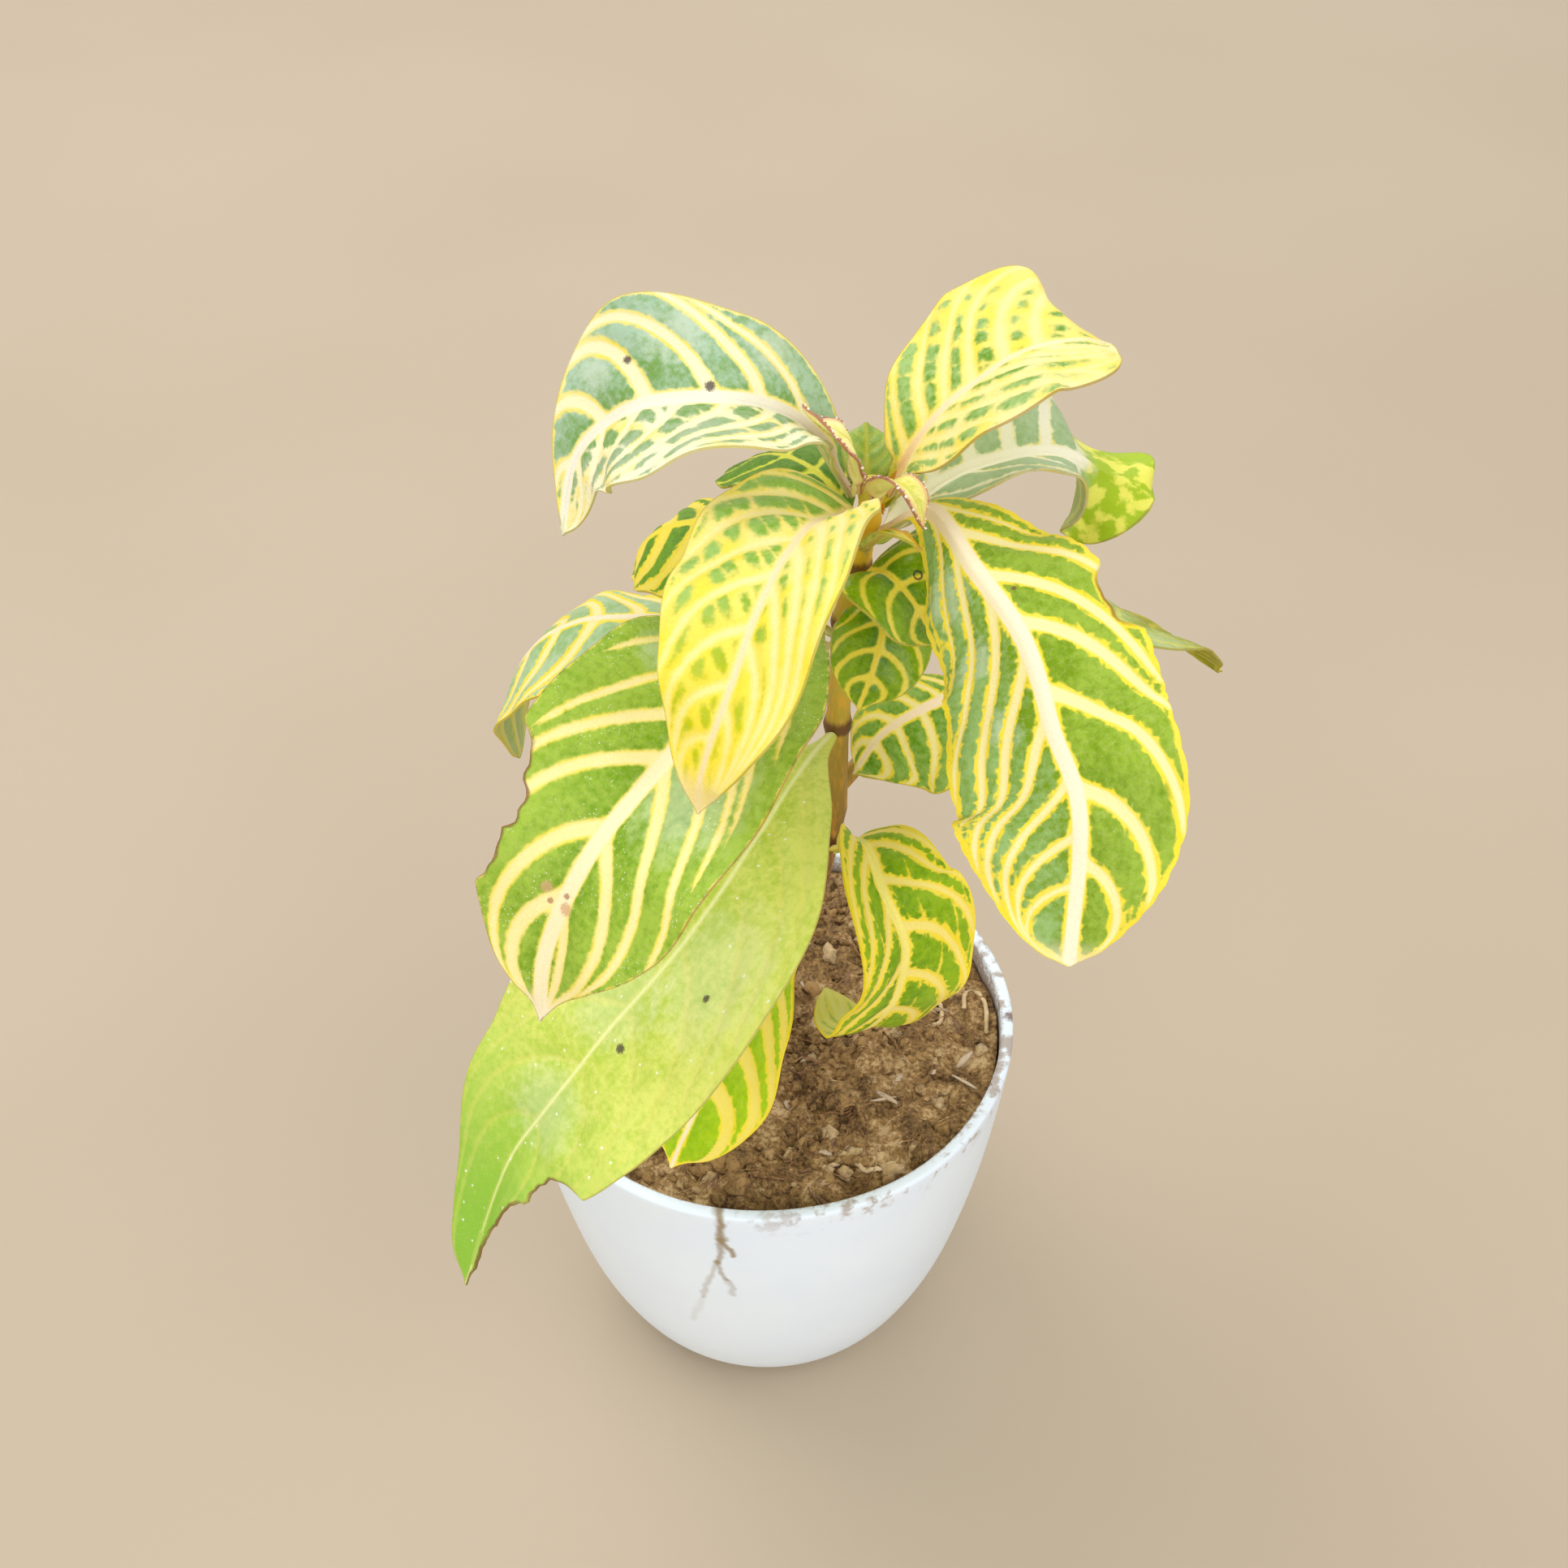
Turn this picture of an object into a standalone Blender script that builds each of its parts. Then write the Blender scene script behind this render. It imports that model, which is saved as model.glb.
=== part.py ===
"""Potted sanchezia: a leafy cutting in a white four-inch nursery pot.

World frame: the middle of the pot's base is the origin, +Z is up, and the plant
leans a little towards +X. Sizes below are in millimetres and become metres
where a mesh is made.
"""
import math

import bmesh
import bpy
import numpy as np
from mathutils import Vector, noise

MM = 0.001
TOUCH_GAP = 0.3
MERGE_DISTANCE = 0.01
SHARP_ANGLE = 40

# Pot: outer radius and height, from the flat base up to the rim
POT_OUTSIDE = [(27, 0), (32, 2), (36, 6.5), (40, 15), (44.2, 28), (47.6, 44), (50.2, 60), (52, 76), (53, 87)]
POT_RIM_HEIGHT = 88
POT_RIM_WALL = 2.6
POT_RIM_ROUNDING = 0.4
POT_WALL = 1.8
POT_FLOOR = 2.4
POT_FLOOR_CORNER = 1
POT_SIDES = 48
DRAIN_HOLES = 5
DRAIN_HOLE_DIAMETER = 5
DRAIN_HOLE_CIRCLE = 16
DRAIN_HOLE_SIDES = 12

# Soil: filled to a few millimetres below the rim, with a plain hole for the stem
SOIL_LEVEL = 83
SOIL_CROWN = 2.0
SOIL_LUMP = 2.4
SOIL_LUMP_SIZE = 9
SOIL_FINE_SHARE = 0.4
SOIL_EDGE_GAP = 1.0
SOIL_SHOULDER = 5
SOIL_RINGS = (1.0, 0.93, 0.84, 0.74, 0.63, 0.52, 0.4, 0.28, 0.17)
SOIL_SIDES = 40
STEM_HOLE_PLAY = 0.4
STEM_HOLE_SIDES = 16

# Stem: points on its axis with the radius there, from its foot in the soil up
STEM = [
    ((2, 3, 60), 2.6), ((2, 3, 88), 2.6), ((6, 2, 106), 2.5), ((11, 2, 128), 2.4),
    ((14, 2, 146), 2.3), ((14, 3, 165), 2.2), ((15, 3, 192), 2.1), ((18, 2, 211), 2.0), ((19, 1, 222), 1.8),
]
SIDE_SHOOT = [((14, 3, 150), 1.7), ((21, 8, 156), 1.6), ((30, 11, 161), 1.5), ((38, 13, 166), 1.4)]
STEM_NODES = [112, 139, 167, 191, 204, 214, 220]
STEM_NODE_SWELLING = 0.5
STEM_NODE_SPREAD = 1.8
STEM_SIDES = 10
STEM_RING_SPACING = 4
SIDE_SHOOT_SIDES = 8
SIDE_SHOOT_RING_SPACING = 3

# Leaf: rib and margin thickness, and the leaf stalk at its base
RIB_THICKNESS = 1.3
BLADE_THICKNESS = 0.7
RIB_THINNING = 0.4
STALK_WIDTH = 2.2
STALK_THICKNESS = 1.8
STALK_SHARE = 0.15
STALK_TAPER_SHARE = 0.3
TIP_WIDTH = 0.5
FLAT_HALF_WIDTH = 1.5
TILTED_HALF_WIDTH = 4.5
WAVE_SHIFT = 0.4
SPINE_STEPS = 30
LARGE_LEAF_ROWS = 24
SMALL_LEAF_ROWS = 13
HALF_COLUMNS = 3

# Blade outlines: share of the length from the base, share of the greatest half width
OUTLINES = {
    "egg": [(0, 0.05), (0.06, 0.09), (0.14, 0.3), (0.28, 0.72), (0.42, 0.95), (0.54, 1), (0.68, 0.93),
            (0.8, 0.74), (0.9, 0.42), (0.955, 0.16), (1, 0)],
    "oval": [(0, 0.07), (0.05, 0.14), (0.12, 0.42), (0.25, 0.8), (0.4, 0.98), (0.52, 1), (0.68, 0.9),
             (0.82, 0.64), (0.92, 0.33), (0.97, 0.14), (1, 0)],
    "full": [(0, 0.1), (0.04, 0.28), (0.12, 0.62), (0.25, 0.88), (0.42, 1), (0.6, 0.97), (0.75, 0.8),
             (0.87, 0.5), (0.95, 0.2), (1, 0)],
    "blunt": [(0, 0.05), (0.06, 0.09), (0.15, 0.32), (0.3, 0.74), (0.46, 0.96), (0.6, 1), (0.73, 0.94),
              (0.84, 0.76), (0.93, 0.46), (0.98, 0.2), (1, 0)],
    "lance": [(0, 0.05), (0.08, 0.12), (0.2, 0.48), (0.36, 0.88), (0.48, 1), (0.62, 0.93), (0.74, 0.72),
              (0.84, 0.4), (0.92, 0.22), (0.97, 0.12), (1, 0)],
}

GREEN = (0.10, 0.26, 0.05)
YELLOW = (0.75, 0.68, 0.08)
LIME = (0.42, 0.52, 0.10)
CREAM = (0.62, 0.62, 0.30)
DEEP_GREEN = (0.06, 0.17, 0.02)

# Leaves. node is the height on the stem, or on the side shoot, that the stalk leaves from.
# spine is where the midrib runs, in mm. width is the blade's, flattened. Looking from base
# to tip, each half rises by its tilt, in degrees at even stations along the leaf, and has
# its ratio of the outline's half width. A wave is its height in mm and its count, and
# a bite is a side, a station, its half length and its depth as shares of the leaf's own.
LEAVES = {
    "leaf_upper_left": dict(
        node=219, width=35, outline="blunt", colour=CREAM, wave=(0.8, 5),
        spine=[(10, 2, 229), (3, -1, 237), (-6, -4, 241), (-18, -2, 239), (-26, 0, 233), (-31, -1, 226),
               (-33, -6, 216)],
        tilt_left=[35, 30, 20, 5, -10, -25], tilt_right=[50, 40, 35, 42, 48, 45],
        ratio_left=[1, 0.9, 0.9, 1, 0.8, 0.7], ratio_right=[1, 0.88, 0.86, 1, 0.45, 0.1]),
    "leaf_upper_right": dict(
        node=220, width=39, outline="blunt", colour=YELLOW, wave=(0.4, 4),
        spine=[(28, 0, 234), (36, 1, 242), (44, 3, 246), (51, 4, 247), (57, 6, 245)],
        tilt_left=[70, 50, 30, 25, 20, 10], tilt_right=[-30, -15, -9, -6, -10, -12],
        ratio_left=[1, 0.95, 1, 1.15, 1.4, 0.8], ratio_right=[0.4, 0.85, 1, 1]),
    "leaf_yellow_front": dict(
        node=217, width=31, outline="full", colour=YELLOW, wave=(0.6, 5),
        spine=[(8, -24, 230), (1, -42, 230), (-4, -54, 222), (-8, -59, 211), (-9, -60, 203)],
        tilt_left=[20, 30, 35, 25, 30], tilt_right=[50, 15, -10, -5, -5],
        ratio_left=[0.2, 0.7, 1, 1, 1], ratio_right=[1, 1.1, 1.1, 1, 1]),
    "leaf_right_large": dict(
        node=214, width=36, outline="blunt", colour=GREEN, wave=(0.9, 6),
        spine=[(28, -5.5, 221), (34, -23, 222), (41, -38, 219), (45, -50, 211), (49, -60, 202),
               (48, -72, 182)],
        tilt_left=[15, 0, 5, 15, 20], tilt_right=[-40, -45, -38, -25, -10],
        ratio_right=[1, 1, 1, 1.05, 1.3, 1.4],
        bites=[("left", 0.47, 0.05, 0.18)]),
    "leaf_left_large": dict(
        node=191, width=44, outline="egg", colour=GREEN, wave=(0.8, 5),
        spine=[(7, -8, 199), (-6, -33, 203), (-17, -48, 199), (-27, -57, 190), (-34, -62, 175),
               (-36, -65, 161)],
        tilt_left=[0, 15, 15, 5, 0], tilt_right=[10, 15, 22, 25, 30],
        ratio_left=[0.8, 0.85, 1, 1.1, 1], ratio_right=[1, 1, 1, 1, 0.93, 0.9],
        bites=[("right", 0.67, 0.06, 0.22), ("right", 0.74, 0.07, 0.22)]),
    "leaf_lime_long": dict(
        node=167, width=46, outline="lance", colour=LIME, wave=(0.7, 5),
        spine=[(7, -16, 172), (-6, -41, 168), (-16, -52, 160), (-26, -58, 150), (-35, -62, 138),
               (-45, -65, 122), (-54, -74, 98)],
        tilt_left=[0, 10, 10, 5, 20, 40], tilt_right=[50, 25, 0, 0, 5, 10],
        ratio_right=[1, 1, 1, 1, 1.1, 1.8],
        bites=[("left", 0.76, 0.05, 0.35), ("left", 0.86, 0.06, 0.35), ("left", 0.97, 0.09, 0.75)]),
    "leaf_low_front": dict(
        node=112, width=34, outline="egg", colour=GREEN, wave=(0.5, 4),
        spine=[(1, -14, 116), (-8, -30, 110), (-14, -40, 102), (-18, -45, 94)],
        tilt_left=[35, 50, 35, 15, 10], tilt_right=[10]),
    "leaf_low_right": dict(
        node=139, width=32, outline="blunt", colour=YELLOW, wave=(0.6, 5),
        spine=[(19, -14, 151), (22, -26, 151), (26, -31, 142), (25, -33, 131), (20, -31, 119), (15, -26, 115),
               (12, -19, 117)],
        tilt_left=[40, 15, 0, -10, -10, 0], tilt_right=[80, 60, 40, 25, 10, 0], ratio_right=[0.75]),
    "leaf_shoot_inner": dict(
        shoot=165.6, width=33, outline="egg", colour=GREEN, wave=(0.6, 4),
        spine=[(36.5, 7, 170.5), (29, 1, 171.5), (22, -2, 168), (17, -5, 161)],
        tilt_left=[-20, -40, -45, -40], tilt_right=[60, 60, 60, 40], ratio_right=[0.45]),
    "leaf_shoot_outer": dict(
        shoot=165.6, width=30, outline="egg", colour=DEEP_GREEN, wave=(0.6, 4),
        spine=[(56, 33, 167), (71, 35, 166), (84, 40, 157), (96, 44, 146)],
        tilt_left=[0, -15, -20], tilt_right=[-30, 10, 30, 35]),
    "leaf_back_left": dict(
        node=199, width=36, outline="egg", colour=DEEP_GREEN, wave=(0.5, 4),
        spine=[(5, 2, 207), (-6, 4, 211), (-15, 6, 210), (-21, 7, 205), (-23, 8, 197)],
        tilt_left=[-20], tilt_right=[-10]),
    "leaf_back_top": dict(
        node=210, width=24, outline="egg", colour=DEEP_GREEN, wave=(0.4, 4),
        spine=[(12, 9, 216), (5, 16, 217), (-2, 22, 213), (-7, 25, 206)], tilt_left=[0], tilt_right=[-10]),
    "leaf_right_back": dict(
        node=209, width=34, outline="blunt", colour=CREAM, wave=(0.6, 4),
        spine=[(29, 9, 214), (37, 11, 218), (47, 14, 219), (55, 17, 216.5), (61, 18, 212.5), (70, 16, 208)],
        tilt_left=[35, 30, 25, 30, -10, 30], tilt_right=[10, 25, 30, 20, -60, -30],
        ratio_left=[1, 1, 1, 1, 0.8, 2.2], ratio_right=[1, 1, 0.8, 0.6, 0.9, 1.6]),
    "leaf_left_behind": dict(
        node=186, width=30, outline="blunt", colour=CREAM, wave=(0.5, 5),
        spine=[(-5, 3, 190), (-21, 7, 189), (-35, 11, 184.5), (-45, 14, 174), (-49, 14, 162), (-48, 11, 151)],
        tilt_left=[0, -10, -25, -20, -10, 0], tilt_right=[-10, -20, -15, -5, 0]),
    "leaf_small_upper": dict(
        node=204, width=22, outline="oval", colour=DEEP_GREEN, rows=SMALL_LEAF_ROWS, wave=(0.3, 3),
        spine=[(19, -5, 208), (22, -9, 209.5), (26, -13, 206.5), (29.5, -15, 200)], tilt_left=[35],
        tilt_right=[0]),
    "leaf_small_lower": dict(
        node=199, width=18, outline="oval", colour=DEEP_GREEN, rows=SMALL_LEAF_ROWS, wave=(0.3, 3),
        spine=[(20, -4, 199.5), (21, -8, 197.5), (19.5, -11.5, 192), (17, -13.5, 184.5)], tilt_left=[10],
        tilt_right=[10]),
    "leaf_young_arch": dict(
        node=210, width=6, outline="oval", colour=DEEP_GREEN, rows=SMALL_LEAF_ROWS, wave=(0.2, 3),
        spine=[(18.5, -4, 213.5), (20.5, -8, 218.5), (23.5, -11, 220), (26.5, -13, 218)], tilt_left=[-20],
        tilt_right=[-20]),
    "leaf_young_back": dict(
        node=214, width=8, outline="oval", colour=DEEP_GREEN, rows=SMALL_LEAF_ROWS, wave=(0.2, 3),
        spine=[(21.5, 5, 218), (24.5, 7, 220.5), (28, 8.5, 220)], tilt_left=[15], tilt_right=[15]),
    "leaf_young_tip": dict(
        node=218, width=9, outline="oval", colour=DEEP_GREEN, rows=SMALL_LEAF_ROWS, wave=(0.2, 3),
        spine=[(18, 6, 222), (18, 10, 225), (18, 13, 226)], tilt_left=[20], tilt_right=[20]),
    "bud_leaf_left": dict(
        node=221, width=7, outline="oval", colour=LIME, rows=SMALL_LEAF_ROWS, wave=(0.2, 3),
        spine=[(15, -2, 231), (11, -4, 236), (7, -4, 240)], tilt_left=[45], tilt_right=[45]),
    "bud_leaf_curled": dict(
        node=221, width=7, outline="oval", colour=LIME, rows=SMALL_LEAF_ROWS, wave=(0.2, 3),
        spine=[(20, -5, 225), (22.5, -10, 229), (25.5, -13.5, 228), (26.5, -15.5, 224)], tilt_left=[30],
        tilt_right=[30]),
}


def make_material(name, colour, roughness, metallic=0.0):
    """A Principled material of one colour."""
    material = bpy.data.materials.new(name)
    material.use_nodes = True
    shader = material.node_tree.nodes["Principled BSDF"]
    shader.inputs["Base Color"].default_value = (*colour, 1)
    shader.inputs["Roughness"].default_value = roughness
    shader.inputs["Metallic"].default_value = metallic
    return material


def add_object(name, bm, material, face_out=True):
    """Turns a bmesh in millimetres into a named object in metres. An open sheet keeps its way up."""
    bmesh.ops.scale(bm, vec=(MM, MM, MM), verts=bm.verts)
    if face_out:
        bmesh.ops.recalc_face_normals(bm, faces=bm.faces)
    mesh = bpy.data.meshes.new(name)
    bm.to_mesh(mesh)
    bm.free()
    mesh.materials.append(material)
    mesh.shade_smooth()
    mesh.set_sharp_from_angle(angle=math.radians(SHARP_ANGLE))
    thing = bpy.data.objects.new(name, mesh)
    bpy.context.scene.collection.objects.link(thing)
    return thing


def apply_boolean(thing, cutter, operation):
    """Applies one Boolean to an object and removes the cutter."""
    modifier = thing.modifiers.new(operation.title(), "BOOLEAN")
    modifier.operation = operation
    modifier.object = cutter
    bpy.context.view_layer.objects.active = thing
    with bpy.context.temp_override(active_object=thing, object=thing):
        bpy.ops.object.modifier_apply(modifier=modifier.name)
    bpy.data.objects.remove(cutter)


def add_cylinder(bm, radius, height, sides):
    """A cylinder on the origin, for a cutter."""
    bmesh.ops.create_cone(bm, cap_ends=True, segments=sides, radius1=radius, radius2=radius, depth=height)


def turned(profile, sides):
    """A closed body turned about Z from (radius, height) points that start and end on the axis."""
    bm = bmesh.new()
    points = [bm.verts.new((radius, 0, height)) for radius, height in profile]
    edges = [bm.edges.new(pair) for pair in zip(points, points[1:])]
    bmesh.ops.spin(bm, geom=points + edges, axis=(0, 0, 1), cent=(0, 0, 0), angle=math.tau,
                   steps=sides, use_merge=True)
    bmesh.ops.remove_doubles(bm, verts=bm.verts, dist=MERGE_DISTANCE)
    return bm


def pot_inside():
    """The inner face of the pot's wall as (radius, height), from the rim down."""
    inside = [(POT_OUTSIDE[-1][0] - POT_RIM_WALL, POT_RIM_HEIGHT - 1)]
    for radius, height in reversed(POT_OUTSIDE[2:-1]):
        inside.append((radius - POT_WALL, height))
    inside.append((POT_OUTSIDE[1][0] - POT_FLOOR_CORNER, POT_FLOOR))
    return inside


def build_pot():
    """The pot: one turned body with drain holes through its floor."""
    rim_radius = POT_OUTSIDE[-1][0]
    shoulder = POT_RIM_HEIGHT - POT_RIM_ROUNDING / 2
    rim = [(rim_radius - POT_RIM_ROUNDING, shoulder), (rim_radius - POT_RIM_WALL / 2, POT_RIM_HEIGHT),
           (rim_radius - POT_RIM_WALL + POT_RIM_ROUNDING, shoulder)]
    profile = [(0, 0)] + POT_OUTSIDE + rim + pot_inside() + [(0, POT_FLOOR)]
    plastic = make_material("white_plastic", (0.82, 0.86, 0.9), 0.35)
    pot = add_object("pot", turned(profile, POT_SIDES), plastic)
    for number in range(DRAIN_HOLES):
        angle = math.tau * number / DRAIN_HOLES
        bm = bmesh.new()
        add_cylinder(bm, DRAIN_HOLE_DIAMETER / 2, POT_FLOOR * 3, DRAIN_HOLE_SIDES)
        place = Vector((math.cos(angle), math.sin(angle), 0)) * DRAIN_HOLE_CIRCLE
        bmesh.ops.translate(bm, verts=bm.verts, vec=place + Vector((0, 0, POT_FLOOR / 2)))
        apply_boolean(pot, add_object("drain_cutter", bm, plastic), "DIFFERENCE")


def soil_height(x, y):
    """The soil's surface: a low crown with lumps of two sizes."""
    spread = min(1.0, math.hypot(x, y) / POT_OUTSIDE[-1][0])
    coarse = noise.noise(Vector((x, y, 0)) / SOIL_LUMP_SIZE)
    fine = noise.noise(Vector((x, y, 0)) / (SOIL_LUMP_SIZE * SOIL_FINE_SHARE))
    return SOIL_LEVEL + SOIL_CROWN * (1 - spread ** 2) + SOIL_LUMP * (coarse + SOIL_FINE_SHARE * fine)


def build_soil():
    """The soil fills the pot, clear of its wall, and has a plain hole that the stem stands in."""
    foot, stem_radius = stem_at(STEM, SOIL_LEVEL)
    hole_floor = STEM[0][0][2] - TOUCH_GAP
    soil_floor = POT_FLOOR + TOUCH_GAP
    filled = [point for point in pot_inside() if point[1] < SOIL_LEVEL - SOIL_SHOULDER]
    wall = [(radius - TOUCH_GAP, height) for radius, height in filled]
    wall[-1] = (wall[-1][0] - TOUCH_GAP, soil_floor)
    edge = POT_OUTSIDE[-2][0] - POT_WALL - SOIL_EDGE_GAP
    top = [(edge * share, SOIL_LEVEL) for share in SOIL_RINGS]
    bm = turned([(0, soil_floor)] + wall[::-1] + top + [(0, SOIL_LEVEL)], SOIL_SIDES)
    for vert in bm.verts:
        if vert.co.z > SOIL_LEVEL - MERGE_DISTANCE:
            vert.co.z = soil_height(vert.co.x, vert.co.y)
    earth = make_material("potting_soil", (0.16, 0.09, 0.045), 0.95)
    soil = add_object("soil", bm, earth)
    bm = bmesh.new()
    depth = 2 * (SOIL_LEVEL - hole_floor)
    add_cylinder(bm, stem_radius + STEM_HOLE_PLAY, depth, STEM_HOLE_SIDES)
    bmesh.ops.translate(bm, verts=bm.verts, vec=(foot.x, foot.y, hole_floor + depth / 2))
    apply_boolean(soil, add_object("stem_hole_cutter", bm, earth), "DIFFERENCE")


def stem_at(axis, height):
    """The point on a stem's axis at a height, and the radius there."""
    for (low, low_radius), (high, high_radius) in zip(axis, axis[1:]):
        if height <= high[2]:
            break
    share = (height - low[2]) / (high[2] - low[2])
    return Vector(low).lerp(Vector(high), share), low_radius + (high_radius - low_radius) * share


def node_swelling(height):
    """How much thicker the main stem is at a height, near its nodes."""
    near = sum(math.exp(-((height - node) / STEM_NODE_SPREAD) ** 2) for node in STEM_NODES)
    return STEM_NODE_SWELLING * min(1, near)


def tube(axis, sides, spacing):
    """A round stem along an axis of ((x, y, z), radius), swollen at its nodes."""
    count = round((axis[-1][0][2] - axis[0][0][2]) / spacing)
    heights = list(np.linspace(axis[0][0][2], axis[-1][0][2], count + 1))
    bm = bmesh.new()
    rings = []
    for height in heights:
        centre, radius = stem_at(axis, height)
        ahead = stem_at(axis, min(height + 1, heights[-1]))[0] - stem_at(axis, max(height - 1, heights[0]))[0]
        turn = ahead.to_track_quat("Z", "Y")
        if axis is STEM:
            radius += node_swelling(height)
        ring = []
        for side in range(sides):
            angle = math.tau * side / sides
            ring.append(bm.verts.new(centre + turn @ Vector((math.cos(angle), math.sin(angle), 0)) * radius))
        rings.append(ring)
    for lower, upper in zip(rings, rings[1:]):
        for side in range(sides):
            after = (side + 1) % sides
            bm.faces.new((lower[side], lower[after], upper[after], upper[side]))
    bm.faces.new(rings[0][::-1])
    bm.faces.new(rings[-1])
    return bm


def build_stem():
    """The main stem, with its side shoot grown from it."""
    material = make_material("stem_bark", (0.42, 0.36, 0.12), 0.5)
    stem = add_object("stem", tube(STEM, STEM_SIDES, STEM_RING_SPACING), material)
    shoot = add_object("side_shoot", tube(SIDE_SHOOT, SIDE_SHOOT_SIDES, SIDE_SHOOT_RING_SPACING), material)
    apply_boolean(stem, shoot, "UNION")


def smooth_through(stations, values, at):
    """Values at evenly smoothed stations: a curve through the pairs that never overshoots them."""
    x = np.array(stations, float)
    y = np.array(values, float)
    step = np.diff(x)
    slope = np.diff(y) / step
    tangent = np.zeros_like(y)
    both = slope[:-1] * slope[1:] > 0
    tangent[1:-1] = np.where(both, 2 * slope[:-1] * slope[1:] / (slope[:-1] + slope[1:] + 1e-12), 0)
    tangent[0] = slope[0]
    tangent[-1] = slope[-1]
    k = np.clip(np.searchsorted(x, at, side="right") - 1, 0, len(step) - 1)
    s = (at - x[k]) / step[k]
    return (y[k] * (1 + 2 * s) * (1 - s) ** 2 + tangent[k] * step[k] * s * (1 - s) ** 2
            + y[k + 1] * s * s * (3 - 2 * s) + tangent[k + 1] * step[k] * s * s * (s - 1))


def along_leaf(values, v):
    """A short list of even stations read at v, or one value everywhere."""
    if len(values) == 1:
        return np.full_like(v, values[0])
    return smooth_through(np.linspace(0, 1, len(values)), values, v)


def spine_through(points, v):
    """Points at shares v of the length of a smooth curve through the given points."""
    p = np.array(points, float)
    p = np.vstack([2 * p[0] - p[1], p, 2 * p[-1] - p[-2]])
    fine = []
    for a, b, c, d in zip(p, p[1:], p[2:], p[3:]):
        for t in np.linspace(0, 1, SPINE_STEPS, endpoint=False):
            fine.append(0.5 * (2 * b + (c - a) * t + (2 * a - 5 * b + 4 * c - d) * t ** 2
                               + (3 * b - a - 3 * c + d) * t ** 3))
    fine = np.array(fine + [p[-2]])
    length = np.concatenate([[0], np.cumsum(np.linalg.norm(np.diff(fine, axis=0), axis=1))])
    return np.stack([np.interp(v * length[-1], length, fine[:, k]) for k in range(3)], axis=-1), length[-1]


def leaf_base(leaf):
    """Where a leaf's stalk leaves the stem, just clear of its bark."""
    axis, height = (STEM, leaf["node"]) if "node" in leaf else (SIDE_SHOOT, leaf["shoot"])
    centre, radius = stem_at(axis, height)
    if axis is STEM:
        radius += node_swelling(height)
    along = (stem_at(axis, height)[0] - stem_at(axis, height - 1)[0]).normalized()
    heading = Vector(leaf["spine"][0]) - centre
    heading -= along * heading.dot(along)
    return centre + heading.normalized() * (radius + TOUCH_GAP)


def leaf_surface(leaf, rows, half_columns):
    """The leaf's upper face as a grid of points from base to tip and from left margin to right."""
    v = np.linspace(0, 1, rows)
    centre, length = spine_through([leaf_base(leaf)] + leaf["spine"], v)
    ahead = np.gradient(centre, axis=0)
    ahead /= np.linalg.norm(ahead, axis=1)[:, None]
    normal = np.zeros_like(centre)
    previous = np.array((0, 0, 1.0))
    for row in range(rows):
        previous = previous - ahead[row] * (previous @ ahead[row])
        previous /= np.linalg.norm(previous)
        normal[row] = previous
    rightward = np.cross(ahead, normal)
    outline = np.array(OUTLINES[leaf["outline"]])
    half = leaf["width"] / 2 * smooth_through(outline[:, 0], outline[:, 1], v)
    wave_height, wave_count = leaf["wave"]
    sides = []
    for side, sign, phase in (("left", -1, 0.0), ("right", 1, WAVE_SHIFT)):
        reach = half * along_leaf(leaf.get("ratio_" + side, [1]), v)
        for bitten, station, spread, depth in leaf.get("bites", ()):
            if bitten == side:
                reach = reach * (1 - depth * (1 - np.clip(np.abs(v - station) / spread, 0, 1) ** 3))
        least = STALK_WIDTH / 2 + (TIP_WIDTH - STALK_WIDTH) / 2 * np.clip(v / STALK_TAPER_SHARE, 0, 1)
        reach = np.maximum(reach, least)[:, None]
        tilted = np.clip((half - FLAT_HALF_WIDTH) / (TILTED_HALF_WIDTH - FLAT_HALF_WIDTH), 0, 1)
        tilt = (np.radians(along_leaf(leaf["tilt_" + side], v)) * tilted)[:, None]
        u = np.linspace(0, 1, half_columns + 1)[None, :]
        ripple = wave_height * u ** 2 * np.sin(math.tau * (wave_count * v[:, None] + phase))
        ripple = ripple * np.sqrt(half / half.max())[:, None]
        across = u * reach * np.cos(tilt) - ripple * np.sin(tilt)
        rise = u * reach * np.sin(tilt) + ripple * np.cos(tilt)
        sideways = sign * rightward[:, None] * across[..., None]
        sides.append(centre[:, None] + sideways + normal[:, None] * rise[..., None])
    return np.concatenate([sides[0][:, ::-1], sides[1][:, 1:]], axis=1)


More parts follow.
